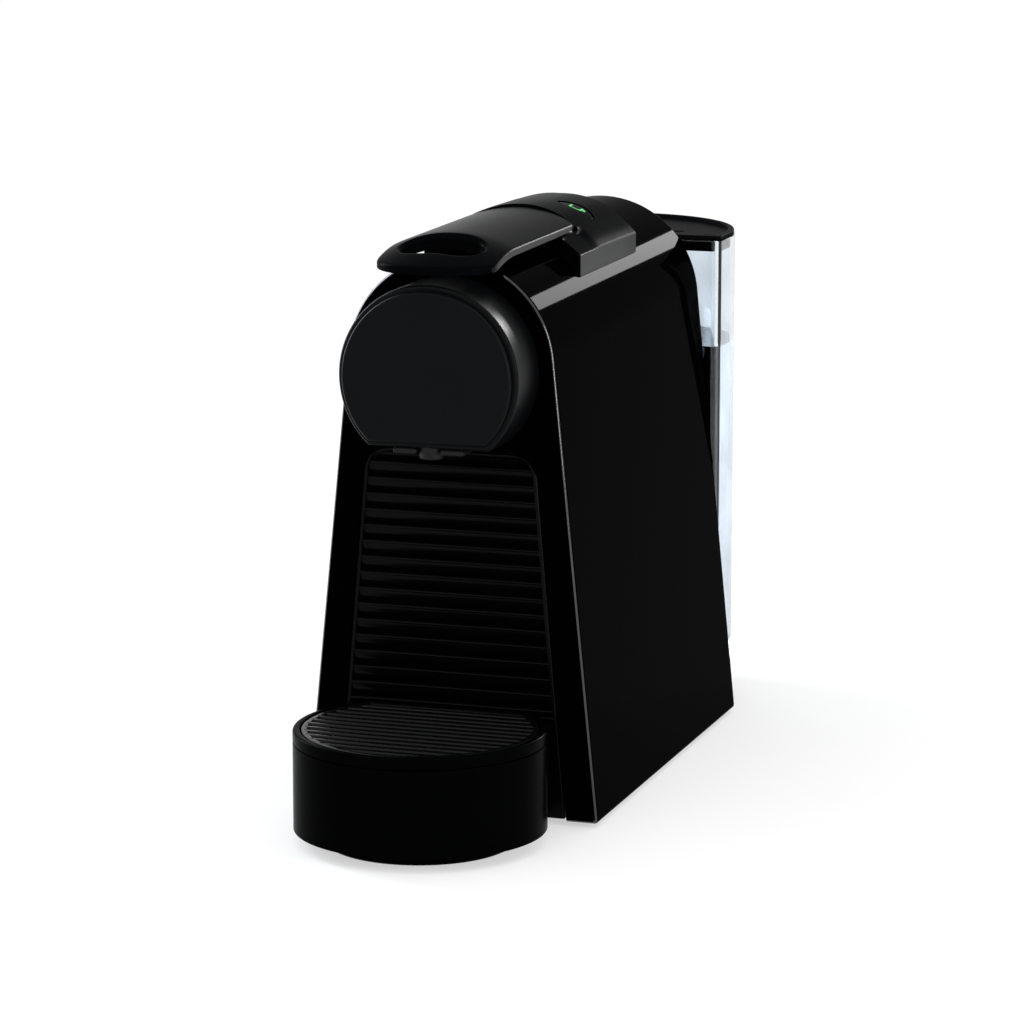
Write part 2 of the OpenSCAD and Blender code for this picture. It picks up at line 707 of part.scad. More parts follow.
module drip_tray() {
  color("#151517") stand() difference() {
    union() {
      translate([0, 0, tray_seam + 0.05]) linear_extrude(tray_top - tray_seam - 0.05) tray_2d(0);
      translate([0, 0, 16]) linear_extrude(tray_seam - 16 + 0.1) tray_2d(tray_t + 0.3);
    }
    translate([0, 0, 18]) linear_extrude(50) tray_2d(tray_in + 2.6);
    translate([0, 0, grid_z]) linear_extrude(50) tray_2d(tray_in);
  }
}
module drip_grid() {
  grid_r = tray_in + 0.3;
  color("#17181a") stand() translate([0, 0, grid_z + 0.02]) union() {
    linear_extrude(grid_t) difference() {
      tray_2d(grid_r);
      tray_2d(grid_r + 2.4);
    }
    linear_extrude(grid_t) intersection() {
      tray_2d(grid_r + 0.5);
      for (i = [-9:9]) translate([-60, -tray_y + i * grid_pitch - grid_bar / 2]) square([120, grid_bar]);
    }
    linear_extrude(grid_t - 1) intersection() {
      tray_2d(grid_r + 0.5);
      for (s = [-1, 1]) translate([s * 18 - 1.2, -100]) square([2.4, 120]);
    }
  }
}
front_seam = 39.4;
module drawer_front() {
  color("#111113") stand() difference() {
    along_y(0.02, 3.4) intersection() {
      panel_2d(floor_gap + 1, panel_top, 0);
      translate([-60, 0]) square([120, front_seam - 0.3]);
    }
    block(-20, 20, 2.2, 4, 10, 34);
  }
}
floor_half = 37;
module drawer_floor() {
  color("#1a1b1d") stand() union() {
    block(-floor_half, floor_half, 3.4, 88, floor_gap + 1.2, floor_gap + 3.6);
    both_sides() block(floor_half - 2, floor_half, 3.4, 88, floor_gap + 3.5, floor_gap + 9);
  }
}
bin_half = 32;
bin_y0 = 6.4;
bin_y1 = 84;
bin_z0 = floor_gap + 3.7;
bin_z1 = 118;
module capsule_bin() {
  color("#1a1b1d") stand() difference() {
    block(-bin_half, bin_half, bin_y0, bin_y1, bin_z0, bin_z1);
    block(-bin_half + 1.8, bin_half - 1.8, bin_y0 + 1.8, bin_y1 - 1.8, bin_z0 + 1.8, bin_z1 + 1);
  }
}
module rib_2d() {
  polygon([[2.9, -1.9], [2.5, -0.6], [1.6, 0.5], [0.4, 1.1], [0.05, 1.6], [0.05, 2.4], [0.5, 2.8], [2.9, 2.9]]);
}
module bin_front() {
  color("#17181b") stand() union() {
    along_y(2.6, 6.35) intersection() {
      panel_2d(front_seam, panel_top, 0);
      translate([-60, front_seam]) square([120, 200]);
    }
    intersection() {
      along_y(0, 2.7) panel_2d(front_seam, panel_top, -1.4);
      union() {
        for (i = [0:rib_count - 1]) translate([0, 0, rib_z0 - 1.6 + i * rib_pitch])
          along_x(-60, 60) rib_2d();
      }
    }
    along_y(0.02, 2.7) difference() {
      intersection() {
        panel_2d(front_seam, panel_top, 0);
        translate([-60, front_seam]) square([120, 200]);
      }
      panel_2d(front_seam - 1, panel_top - 0.2, -1.4);
    }
  }
}

// ------------------------------------------------------------------- tank
spigot_r = 5.8;
module tank() {
  color("#cfd6dc", 0.35) stand() difference() {
    union() {
      translate([0, 0, tank_z0]) linear_extrude(tank_top - tank_z0) tank_2d(0);
      translate([0, valve_y, tank_z0 - 3]) cylinder(r = spigot_r, h = 4);
    }
    translate([0, 0, tank_z0 + 2.4]) linear_extrude(300) tank_2d(tank_t);
    translate([0, valve_y, 0]) cylinder(r = 3.4, h = 30);
  }
}
lid_skirt = 4.4;
module tank_lid() {
  color("#141416") stand() union() {
    translate([0, 0, tank_top + 0.05]) linear_extrude(lid_t) tank_2d(0.4);
    translate([0, 0, tank_top - lid_skirt]) linear_extrude(lid_skirt + 0.1) difference() {
      tank_2d(tank_t + 0.4);
      tank_2d(tank_t + 2.4);
    }
  }
}
module tank_valve() {
  color("#e8e6df") stand() translate([0, valve_y, 0]) union() {
    translate([0, 0, 9.4]) cylinder(r = 3, h = 9);
    translate([0, 0, tank_z0 + 2.5]) cylinder(r = 5.4, h = 1.6);
  }
}
module valve_spring() {
  color("silver") stand() translate([0, valve_y, tank_z0 + 4.15]) difference() {
    cylinder(r = 4.6, h = 6);
    translate([0, 0, -1]) cylinder(r = 3.7, h = 8);
  }
}

housing();
rear_wall();
base_plate();
tank_shelf();
feet();
head_drum();
head_cap();
coffee_spout();
top_console();
lever();
lever_cams();
lever_pin();
small_cup_button();
large_cup_button();
control_board();
button_switches();
brew_frame();
pierce_plate();
plate_seal();
capsule_cage();
cage_pin();
injector_needles();
pump();
pump_mounts();
pump_bracket();
thermoblock();
thermoblock_stand();
flow_meter();
suction_hose();
delivery_hose();
hot_hose();
power_board();
tank_socket();
socket_floor();
socket_seal();
cord_inlet();
tray_base();
drip_tray();
drip_grid();
drawer_front();
drawer_floor();
capsule_bin();
bin_front();
tank();
tank_lid();
tank_valve();
valve_spring();
housing_screws();
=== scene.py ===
# %% [markdown]
# # A pod coffee machine, dressed for its picture
# The imported CAD model is the frame: it says where every part is and how it moves.
# Blender adds what the CAD leaves plain: rounded edges, scooped ribs, clear plastic
# and finishes. So the first step is to load that frame.

# %% Load the imported model
import json
import math

import bmesh
import bpy
from mathutils import Matrix, Vector


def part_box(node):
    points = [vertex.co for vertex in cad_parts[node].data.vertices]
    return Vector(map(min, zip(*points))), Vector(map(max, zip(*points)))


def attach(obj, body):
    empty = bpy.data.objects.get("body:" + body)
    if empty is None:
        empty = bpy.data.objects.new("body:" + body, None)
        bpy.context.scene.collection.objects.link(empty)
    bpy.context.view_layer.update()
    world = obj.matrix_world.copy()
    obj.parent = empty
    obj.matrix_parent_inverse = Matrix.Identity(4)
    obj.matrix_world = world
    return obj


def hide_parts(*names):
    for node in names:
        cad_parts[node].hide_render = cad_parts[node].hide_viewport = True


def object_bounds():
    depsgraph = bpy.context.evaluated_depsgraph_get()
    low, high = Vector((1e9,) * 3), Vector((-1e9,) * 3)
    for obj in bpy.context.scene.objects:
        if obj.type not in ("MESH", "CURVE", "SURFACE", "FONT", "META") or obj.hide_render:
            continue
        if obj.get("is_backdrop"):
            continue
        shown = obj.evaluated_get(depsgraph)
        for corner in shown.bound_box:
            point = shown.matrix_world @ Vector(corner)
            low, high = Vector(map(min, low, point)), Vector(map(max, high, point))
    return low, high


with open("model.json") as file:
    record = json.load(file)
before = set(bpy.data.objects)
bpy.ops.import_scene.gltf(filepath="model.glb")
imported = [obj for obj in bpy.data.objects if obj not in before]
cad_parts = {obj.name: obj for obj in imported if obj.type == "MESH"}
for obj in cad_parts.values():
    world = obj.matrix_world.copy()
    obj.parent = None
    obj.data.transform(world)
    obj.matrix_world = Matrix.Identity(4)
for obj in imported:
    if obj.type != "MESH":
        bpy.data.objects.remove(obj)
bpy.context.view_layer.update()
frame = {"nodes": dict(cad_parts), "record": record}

# %% [markdown]
# ## Millimetres from the housing's front
# A maker measures this machine from the front face of its housing, in millimetres.
# Blender works in metres in the frame's own axes. One small function turns the first
# into the second, so every piece below can be written in shop sizes. The front face
# is found from the CAD housing itself instead of being typed in.

# %% From shop sizes to metres
MM = 0.001
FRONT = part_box("housing")[0].y


def metres(p):
    return (p[0] * MM, p[1] * MM + FRONT, p[2] * MM)


print("the housing's front face stands at y =", round(FRONT * 1000, 2), "mm")

# %% [markdown]
# ## Solids from outlines
# Nearly every part here is a moulding whose cross-section changes slowly. Such a part
# can be made from a stack of closed outlines with quads between them, which gives
# clean rows of faces that shade well. A boolean of ready-made solids would be quicker
# to write but leaves ragged faces, so it is kept for slots and holes.

# %% Outline helpers
def arc(cx, cy, r, start, end, steps):
    """Points on a circle from one angle to another, in degrees."""
    turn = [math.radians(start + (end - start) * i / steps) for i in range(steps + 1)]
    return [(cx + r * math.cos(a), cy + r * math.sin(a)) for a in turn]


def upright(outline, y):
    return [(u, y, v) for u, v in outline]


def level(outline, z):
    return [(u, v, z) for u, v in outline]


def solid(name, points, faces):
    """A closed mesh with its normals outwards, not yet on any body."""
    mesh = bpy.data.meshes.new(name)
    mesh.from_pydata([metres(p) for p in points], [], faces)
    work = bmesh.new()
    work.from_mesh(mesh)
    bmesh.ops.remove_doubles(work, verts=work.verts, dist=2e-6)
    bmesh.ops.recalc_face_normals(work, faces=work.faces)
    work.to_mesh(mesh)
    work.free()
    obj = bpy.data.objects.new(name, mesh)
    bpy.context.scene.collection.objects.link(obj)
    return obj


def loft(name, loops, ring=False):
    """Quads between outlines of equal length; ring joins the last to the first."""
    n, count = len(loops[0]), len(loops)
    faces = []
    for k in range(count if ring else count - 1):
        a, b = k * n, (k + 1) % count * n
        faces += [(a + i, a + (i + 1) % n, b + (i + 1) % n, b + i) for i in range(n)]
    if not ring:
        faces += [tuple(range(n)), tuple(range((count - 1) * n, count * n))]
    return solid(name, [p for loop in loops for p in loop], faces)


def lathe(name, profile, centre, steps=64):
    """Turns (radius, z) points about an upright axis through centre."""
    cx, cy = centre
    loops = [level(arc(cx, cy, r, 0, 360 - 360 / steps, steps - 1), z) for r, z in profile]
    return loft(name, loops, ring=True)


def slab(name, x0, x1, y0, y1, z0, z1):
    corners = [(x0, y0), (x1, y0), (x1, y1), (x0, y1)]
    return loft(name, [level(corners, z0), level(corners, z1)])


print("outline helpers ready")

# %% [markdown]
# ## Cutting and rounding
# A moulded edge is never sharp: light catches on a radius of about a millimetre. A
# Bevel modifier makes that radius on a finished solid, and weighted normals keep the
# flat faces beside it flat. Both are applied or left simple, so that the meshes can be
# exported as they are.

# %% Cut, round and settle
def bake(obj):
    """Turns what the modifiers show into the object's own mesh."""
    bpy.context.view_layer.update()
    shown = obj.evaluated_get(bpy.context.evaluated_depsgraph_get())
    old, obj.data = obj.data, bpy.data.meshes.new_from_object(shown)
    obj.modifiers.clear()
    bpy.data.meshes.remove(old)
    return obj


def cut(obj, *tools, join=False):
    for tool in tools:
        step = obj.modifiers.new("cut", "BOOLEAN")
        step.operation = "UNION" if join else "DIFFERENCE"
        step.solver = "EXACT"
        step.object = tool
        bake(obj)
        bpy.data.objects.remove(tool)


def soften(obj, radius, steps=4, angle=40):
    step = obj.modifiers.new("round", "BEVEL")
    step.width = radius * MM
    step.segments = steps
    step.limit_method = "ANGLE"
    step.angle_limit = math.radians(angle)
    return bake(obj)


def smooth(obj, angle=35):
    for face in obj.data.polygons:
        face.use_smooth = True
    obj.data.set_sharp_from_angle(angle=math.radians(angle))
    step = obj.modifiers.new("even_shading", "WEIGHTED_NORMAL")
    step.keep_sharp = True
    step.weight = 80


print("cutting and rounding helpers ready")

# %% [markdown]
# ## Moulded plastics
# The machine is mostly black, so its finishes differ by gloss and grain, not colour.
# One function makes them all: a fine noise gives the moulded grain its bump and
# breaks up the roughness, and a broad noise shifts the colour by a few percent, as
# real mouldings do. Values that are the same all over sit on the shader itself.

# %% A moulded finish
def moulded(name, colour, rough, grain=2500, bump=0.05, spread=0.04, shine=0.5, metal=0.0):
    mat = bpy.data.materials.new(name)
    mat.use_nodes = True
    nodes, link = mat.node_tree.nodes, mat.node_tree.links.new
    shader = nodes["Principled BSDF"]
    shader.inputs["Metallic"].default_value = metal
    shader.inputs["Specular IOR Level"].default_value = shine
    place = nodes.new("ShaderNodeTexCoord")
    fine = nodes.new("ShaderNodeTexNoise")
    fine.inputs["Scale"].default_value = grain
    fine.inputs["Detail"].default_value = 4
    broad = nodes.new("ShaderNodeTexNoise")
    broad.inputs["Scale"].default_value = 38
    link(place.outputs["Object"], fine.inputs["Vector"])
    link(place.outputs["Object"], broad.inputs["Vector"])
    tint = nodes.new("ShaderNodeValToRGB")
    tint.color_ramp.elements[0].position = 0.3
    tint.color_ramp.elements[1].position = 0.7
    tint.color_ramp.elements[0].color = (*[c * 0.9 for c in colour], 1)
    tint.color_ramp.elements[1].color = (*[c * 1.08 for c in colour], 1)
    link(broad.outputs["Fac"], tint.inputs["Fac"])
    link(tint.outputs["Color"], shader.inputs["Base Color"])
    gloss = nodes.new("ShaderNodeMapRange")
    gloss.inputs["From Min"].default_value = 0.3
    gloss.inputs["From Max"].default_value = 0.7
    gloss.inputs["To Min"].default_value = max(rough - spread, 0.01)
    gloss.inputs["To Max"].default_value = rough + spread
    link(fine.outputs["Fac"], gloss.inputs["Value"])
    link(gloss.outputs["Result"], shader.inputs["Roughness"])
    if bump:
        relief = nodes.new("ShaderNodeBump")
        relief.inputs["Strength"].default_value = bump
        relief.inputs["Distance"].default_value = 0.0001
        link(fine.outputs["Fac"], relief.inputs["Height"])
        link(relief.outputs["Normal"], shader.inputs["Normal"])
    return mat


FINISH = {
    "housing_gloss": moulded("piano_black", (0.0004, 0.0004, 0.0005), 0.05, 60, 0, 0.01, shine=0.0006),
    "inner_black": moulded("moulded_black", (0.006, 0.006, 0.0065), 0.48, 1800, 0.25, 0.08, shine=0.15),
    "head_satin": moulded("charcoal_satin", (0.0022, 0.0026, 0.003), 0.36, 5200, 0.25, 0.05, shine=0.06),
    "lever_satin": moulded("lever_black", (0.0016, 0.0018, 0.0022), 0.24, 4200, 0.1, 0.04, shine=0.003),
    "button_black": moulded("button_gloss", (0.001, 0.001, 0.0012), 0.1, 80, 0, 0.02, shine=0.002),
    "steel": moulded("ground_steel", (0.55, 0.55, 0.57), 0.28, 900, 0.2, 0.07, metal=1.0),
    "board_green": moulded("circuit_board", (0.015, 0.1, 0.04), 0.38, 700, 0.2, 0.05),
    "grey_plastic": moulded("pale_plastic", (0.55, 0.55, 0.52), 0.4, 1500, 0.1, 0.06),
    "hose_silicone": moulded("milky_silicone", (0.6, 0.6, 0.56), 0.45, 900, 0.1, 0.08),
    "seal_rubber": moulded("soft_rubber", (0.012, 0.012, 0.012), 0.72, 1600, 0.4, 0.08, shine=0.2),
    "pump_brass": moulded("varnished_brass", (0.5, 0.36, 0.14), 0.32, 500, 0.15, 0.08, metal=1.0),
    "cast_aluminium": moulded("cast_aluminium", (0.55, 0.56, 0.57), 0.5, 650, 0.5, 0.1, metal=1.0),
    "tray_satin": moulded("tray_black", (0.0008, 0.0009, 0.001), 0.24, 4200, 0.1, 0.04, shine=0.004),
    "grid_satin": moulded("grid_black", (0.0016, 0.0017, 0.002), 0.26, 3800, 0.15, 0.05, shine=0.12),
    "rib_satin": moulded("rib_black", (0.001, 0.0011, 0.0013), 0.24, 3600, 0.1, 0.04, shine=0.05),
    "lid_satin": moulded("lid_black", (0.003, 0.0032, 0.0036), 0.36, 3600, 0.2, 0.06, shine=0.0015),
}
# A far shinier copy of the piano black for the front edge's rounding: a painted highlight line along that
# edge.
PAINTED_EDGE_HIGHLIGHT = moulded("painted_edge_highlight", (0.001, 0.001, 0.0012), 0.12, 60, 0, 0.02, shine=0.7)
CONSOLE_SATIN = moulded("console_black", (0.0012, 0.0014, 0.0018), 0.24, 4200, 0.1, 0.04, shine=0.001)
# A shinier copy of the lever's black for upright side faces: a painted sheen along the sides.
PAINTED_SIDE_SHEEN = moulded("painted_side_sheen", (0.0016, 0.0018, 0.0022), 0.3, 4200, 0.1, 0.04, shine=0.08)
# A cool blue tint on the reflections and a faint blue sheen of the lever and console: painted cool light,
# matching the cool lamp on the left.
for finish in (FINISH["lever_satin"], CONSOLE_SATIN):
    shader = finish.node_tree.nodes["Principled BSDF"]
    shader.inputs["Specular Tint"].default_value = (0.86, 0.94, 1, 1)
    shader.inputs["Sheen Tint"].default_value = (0.75, 0.88, 1, 1)
    shader.inputs["Sheen Weight"].default_value = 0.006
    shader.inputs["Sheen Roughness"].default_value = 0.25
print(len(FINISH), "moulded finishes")

# %% [markdown]
# ## Clear plastic and water
# The tank is clear moulded plastic with real walls, so it is a transmitting shader on
# a shell with an inside and an outside. Refraction at the walls draws the dark and
# bright edge lines by itself. A faint noise in the roughness stands for the slight
# unevenness of the moulding.

# %% Clear finishes
def clear(name, colour, ior, rough):
    mat = moulded(name, colour, rough, 55, 0, rough * 0.5)
    shader = mat.node_tree.nodes["Principled BSDF"]
    shader.inputs["Transmission Weight"].default_value = 1.0
    shader.inputs["IOR"].default_value = ior
    return mat


FINISH["tank_clear"] = clear("tank_plastic", (0.8, 0.85, 0.895), 1.46, 0.02)
WATER = clear("still_water", (0.95, 0.97, 0.985), 1.33, 0.01)


def glowing(name, colour, strength):
    mat = moulded(name, colour, 0.3, 900, 0, 0.05)
    shader = mat.node_tree.nodes["Principled BSDF"]
    shader.inputs["Emission Color"].default_value = (*colour, 1)
    shader.inputs["Emission Strength"].default_value = strength
    return mat


GLYPH = glowing("lit_green", (0.03, 0.42, 0.06), 0.75)
print("clear finishes and the lit glyph ready")

# %% [markdown]
# ## Hanging a finished piece on the machine
# Each finished piece needs the same last steps: smooth shading, its finish, the body
# that carries it and the CAD parts that it stands for. One function does them, so
# that no step is forgotten.

# %% Put a piece on its body
def give_painted_sheen(obj, beyond):
    """Gives the upright side faces a shinier copy of the black: a painted sheen."""
    obj.data.materials.append(PAINTED_SIDE_SHEEN)
    for face in obj.data.polygons:
        if abs(face.normal.x) > 0.9 and abs(face.center.x) > beyond * MM:
            face.material_index = 1


def hang(obj, body, slot, *stands_for, finish=None, angle=35):
    smooth(obj, angle)
    obj.data.materials.clear()
    obj.data.materials.append(finish or FINISH[slot])
    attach(obj, body)
    if stands_for:
        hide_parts(*stands_for)
    print(obj.name, len(obj.data.polygons), "faces on", body)


# %% [markdown]
# ## The housing
# The real housing is one deep moulding in polished black: straight flanks that lean
# in and run into a round arch. It is drawn once as an arch outline and drawn out to
# its length. The front and rear edges are rounded before anything is cut, because a
# wide rounding only works on a clean solid. Then the inside, the mouth behind the
# head, the ribbed opening and the slots under the lever are cut.

# %% Outline of the arch
BASE, ARCH_R, ARCH_Z, FLOOR = 55, 38.5, 163.1, 1.5
LENGTH, WALL = 184, 2.4
LEAN = math.acos(ARCH_R / math.hypot(BASE, ARCH_Z)) - math.atan2(ARCH_Z, BASE)


def arch(inset, z0, steps=96):
    r, lean = ARCH_R - inset, math.degrees(LEAN)
    foot = (r - (z0 - ARCH_Z) * math.sin(LEAN)) / math.cos(LEAN)
    return [(foot, z0)] + arc(0, ARCH_Z, r, lean, 180 - lean, steps) + [(-foot, z0)]


PANEL_HALF, PANEL_LEAN, PANEL_CORNER = 42.8, 0.0857, 9
PANEL_SLOPE = math.atan(PANEL_LEAN)


def panel_side(z, grow=0.0):
    """Half the width between the panel's straight sides at a height."""
    return PANEL_HALF + grow / math.cos(PANEL_SLOPE) - PANEL_LEAN * z


def panel(z0, z1, grow, steps=10):
    """Outline of the ribbed opening: sides that lean in, round upper corners."""
    r = PANEL_CORNER + grow
    cz = z1 - r
    cx = panel_side(cz, grow) - r / math.cos(PANEL_SLOPE)
    corner = arc(cx, cz, r, math.degrees(PANEL_SLOPE), 90, steps)
    right = [(panel_side(z0, grow), z0)] + corner
    return right + [(-u, v) for u, v in reversed(right)]


print("arch outline has", len(arch(0, FLOOR)), "points")

# %% [markdown]
# ## Cutting the openings
# On the real machine the openings come straight from the mould. Here the clean solid
# is rounded first and cut afterwards, because a bevel over finished openings would
# round hidden edges too, at the cost of many faces. The room for the lever's rear end
# is turned about the hinge line, so that the lever clears it at every angle.

# %% Mould and cut the housing
HINGE_Y, HINGE_Z = 71, 200.5
LEVER_W, LEVER_TOP, CROWN = 22, 209.6, 50
NOTCH = LEVER_W + 0.7


def crown_z(x):
    return LEVER_TOP - CROWN + math.sqrt(CROWN**2 - x * x)


def hinge_pocket(name):
    """The space that the lever's rear end needs to turn in."""
    stations = [NOTCH * i / 12 for i in range(-12, 13)]
    loops = []
    for x in stations:
        r = max(math.sqrt(2) * (crown_z(min(abs(x), LEVER_W)) - HINGE_Z), 6.6) + 0.5
        loops.append([(x, u, v) for u, v in arc(HINGE_Y, HINGE_Z, r, 0, 350, 35)])
    return loft(name, loops)


housing = loft("housing_shell", [upright(arch(0, FLOOR), y) for y in (0, LENGTH)])
soften(housing, 1.6, 6)
cut(
    housing,
    loft("inside", [upright(arch(WALL, -4), y) for y in (3, LENGTH + 4)]),
    loft("opening", [upright(panel(-4, 133.2, 0.6), y) for y in (-3, 4)]),
    loft("mouth", [upright(arc(0, 162, 24, 0, 357, 119), y) for y in (-3, 4)]),
    slab("capsule_way", -19, 19, 9, 38, 183, 223),
    slab("cam_well", -16.2, 16.2, 37, 99, 183, 223),
    hinge_pocket("pocket"),
)
hang(housing, "machine", "housing_gloss", "housing")
# The faces of the front edge's rounding get the shinier copy: a painted highlight line.
housing.data.materials.append(PAINTED_EDGE_HIGHLIGHT)
painted_highlight_faces = 0
for face in housing.data.polygons:
    depth = (face.center.y - FRONT) / MM
    if depth < 1.6 and 0.4 < -face.normal.y < 0.92:
        face.material_index = 1
        painted_highlight_faces += 1
print(painted_highlight_faces, "faces with the painted highlight along the front edge")

# %% [markdown]
# ## The round head
# The head is a drum cut flat underneath, closed by a cap with a narrow shadow line
# between them. Both are circles with a flat, so one outline serves. The drum is a
# ring of outlines that runs out, over its rounded front edge and back inside. The cap
# is a disc whose face swells by a third of a millimetre, which gives the soft sheen
# that a dead flat face can't show.

# %% Drum and cap
def flat_circle(r, flat, steps=120, flat_steps=24):
    """A circle about the origin, cut off below v = flat."""
    a = math.degrees(math.asin(flat / r))
    round_part = arc(0, 0, r, a, 180 - a, steps)
    (x1, _), (x0, _) = round_part[-1], round_part[0]
    line = [(x1 + (x0 - x1) * i / flat_steps, flat) for i in range(1, flat_steps)]
    return round_part + line


HEAD_R, HEAD_Z, HEAD_FLAT, HEAD_LEN = 32.9, 162, 137.5, 23.6


def head_ring(inset, y):
    return [(u, y, v + HEAD_Z) for u, v in flat_circle(HEAD_R - inset, HEAD_FLAT - HEAD_Z + inset)]


def rounding(r, steps=5):
    """(inset, distance along) pairs of a quarter-round edge."""
    return [(r - r * math.cos(a), r * math.sin(a)) for a in
            [math.pi / 2 * i / steps for i in range(steps + 1)]]


drum = [head_ring(0, 0)]
drum += [head_ring(i, -HEAD_LEN + 1.3 - d) for i, d in rounding(1.3)]
drum += [head_ring(3.2, -HEAD_LEN), head_ring(3.4, -HEAD_LEN + 0.2), head_ring(3.4, 0)]
hang(loft("head_drum_shell", drum, ring=True), "machine", "head_satin", "head_drum")

CAP_BACK, CAP_FACE = -HEAD_LEN - 0.25, -HEAD_LEN - 2.7
cap = [head_ring(3.0, CAP_BACK), head_ring(2.3, CAP_BACK), head_ring(2.0, CAP_BACK - 0.3)]
cap += [head_ring(2 + i, CAP_FACE + 1.2 - d) for i, d in rounding(1.2)]
for inset in (5, 8, 12, 16, 20, 23):
    cap.append(head_ring(inset, CAP_FACE - 0.35 * (1 - ((HEAD_R - inset) / 30) ** 2)))
hang(loft("head_cap_shell", cap), "machine", "head_satin", "head_cap")

# %% [markdown]
# ## The coffee spout
# Only the end of the spout shows: a short round nozzle with a bore, under a small
# plate that is let into the flat of the head. The nozzle is turned like a bead on a
# lathe, with soft lips inside and outside, and joined to its rounded plate.

# %% Nozzle and plate
SPOUT = (0, -19)
nozzle = [(2.5, 139), (2.5, 134.2), (2.9, 133.5), (3.5, 133.4), (4.1, 133.7), (4.3, 134.4), (4.3, 139)]
spout = lathe("coffee_nozzle", nozzle, SPOUT, 72)
hang(spout, "machine", "inner_black", "coffee_spout")
plate = soften(slab("spout_plate", -13, -4.32, -23.4, -10, 135.3, 137.45), 0.9)
half = soften(slab("half", 4.32, 13, -23.4, -10, 135.3, 137.45), 0.9)
cut(plate, half, soften(slab("bridge", -5, 5, -14.6, -10, 135.3, 137.45), 0.6), join=True)
hang(plate, "machine", "inner_black")

# %% [markdown]
# ## The lever
# The lever is the part a hand touches: a crowned plate that droops towards its nose,
# with a finger hole whose lip is broad and dished. The outline and the hole are two
# closed curves. Rings between them are laid on the crowned surface, go round the
# outer edge, and come back underneath and up through the hole. That is one closed
# skin, with the rounding exactly where it is wanted, which no plate with a hole
# punched through it gives.

# %% Outlines of the plate and of its hole
DROOP_R, DROOP_Y, NOSE_R, NOSE_Y = 85, 8, 24, -28.5
HOLE_Y, HOLE_W, HOLE_L = -7.5, 29, 19


def spaced(points, count):
    """The same closed line, with points at equal steps along it."""
    ends = points[1:] + points[:1]
    steps = [math.dist(a, b) for a, b in zip(points, ends)]
    total, out, k, walked = sum(steps), [], 0, 0.0
    for i in range(count):
        goal = total * i / count
        while walked + steps[k] < goal:
            walked += steps[k]
            k += 1
        t = (goal - walked) / steps[k]
        out.append(tuple(a + (b - a) * t for a, b in zip(points[k], ends[k])))
    return out


def eased(points, rounds):
    """Rounds the corners of a closed line by averaging neighbours."""
    for _ in range(rounds):
        after = points[1:] + points[:1]
        before = points[-1:] + points[:-1]
        points = [tuple((a + 2 * b + c) / 4 for a, b, c in zip(*trio)) for trio in zip(before, points, after)]
    return points


def inward(points, d):
    """Moves a closed line that runs anticlockwise inwards by d."""
    out = []
    for i, (x, y) in enumerate(points):
        (x0, y0), (x1, y1) = points[i - 1], points[(i + 1) % len(points)]
        run = math.hypot(x1 - x0, y1 - y0)
        out.append((x - d * (y1 - y0) / run, y + d * (x1 - x0) / run))
    return out


REAR_ARC_Y = HINGE_Y + LEVER_TOP - HINGE_Z - CROWN
nose_half = math.degrees(math.asin(LEVER_W / NOSE_R))
rear_half = math.degrees(math.asin(LEVER_W / CROWN))
edge = arc(0, NOSE_Y + NOSE_R, NOSE_R, -90, -90 + nose_half, 40)
edge += arc(0, REAR_ARC_Y, CROWN, 90 - rear_half, 90 + rear_half, 40)
edge += arc(0, NOSE_Y + NOSE_R, NOSE_R, -90 - nose_half, -90, 40)[:-1]
EDGE = eased(spaced(edge, 360), 8)
reach, r = HOLE_W / 2 - HOLE_L / 2, HOLE_L / 2
hole = arc(reach, HOLE_Y, r, -90, 90, 30) + arc(-reach, HOLE_Y, r, 90, 270, 30)
HOLE = spaced([(0, HOLE_Y - r)] + hole, 360)
print("lever outline runs", round(EDGE[0][1], 1), "to", round(max(y for _, y in EDGE), 1), "mm")

# %% [markdown]
# ## The plate's skin
# The top of the lever is part of a barrel that bends down towards the nose. A flat
# plate could be bent with a modifier, but that would squeeze the dished lip. So every
# ring is laid on the barrel's surface at its own depth, and the quads between the
# rings follow it.

# %% Lay the rings on the crowned surface
def lever_z(x, y):
    rho = DROOP_R - CROWN + math.sqrt(CROWN**2 - min(abs(x), 26) ** 2)
    if y >= DROOP_Y:
        return LEVER_TOP - DROOP_R + rho
    return LEVER_TOP - DROOP_R + math.sqrt(rho**2 - (y - DROOP_Y) ** 2)


def plate_ring(t, drop, edge_in=0.0, hole_out=0.0):
    """A ring t of the way from the hole to the edge, drop below the crown."""
    outer = inward(EDGE, edge_in) if edge_in else EDGE
    inner = inward(HOLE, -hole_out) if hole_out else HOLE
    ring = []
    for (x0, y0), (x1, y1) in zip(inner, outer):
        x, y = x0 + (x1 - x0) * t, y0 + (y1 - y0) * t
        ring.append((x, y, lever_z(x, y) - drop))
    return ring


PLATE_T, LIP, LIP_IN, LIP_DROP, ROUND = 3.0, 2.4, 0.12, 1.5, 0.8
rings = [plate_ring(0, LIP_DROP + 0.55), plate_ring(0, LIP_DROP, hole_out=LIP_IN)]
for k in range(1, 7):
    s = k / 6
    dish = LIP_DROP * (1 - math.sin(s * math.pi / 2)) ** 1.3
    rings.append(plate_ring(0, dish, hole_out=LIP_IN + (LIP - LIP_IN) * s))
for k in range(1, 20):
    rings.append(plate_ring(k / 20, 0, edge_in=ROUND, hole_out=LIP))
quarter = [math.pi / 2 * i / 5 for i in range(6)]
rings += [plate_ring(1, ROUND - ROUND * math.cos(a), edge_in=ROUND - ROUND * math.sin(a)) for a in quarter]
rings += [plate_ring(1, PLATE_T - ROUND + ROUND * math.sin(a), edge_in=ROUND - ROUND * math.cos(a))
          for a in quarter]
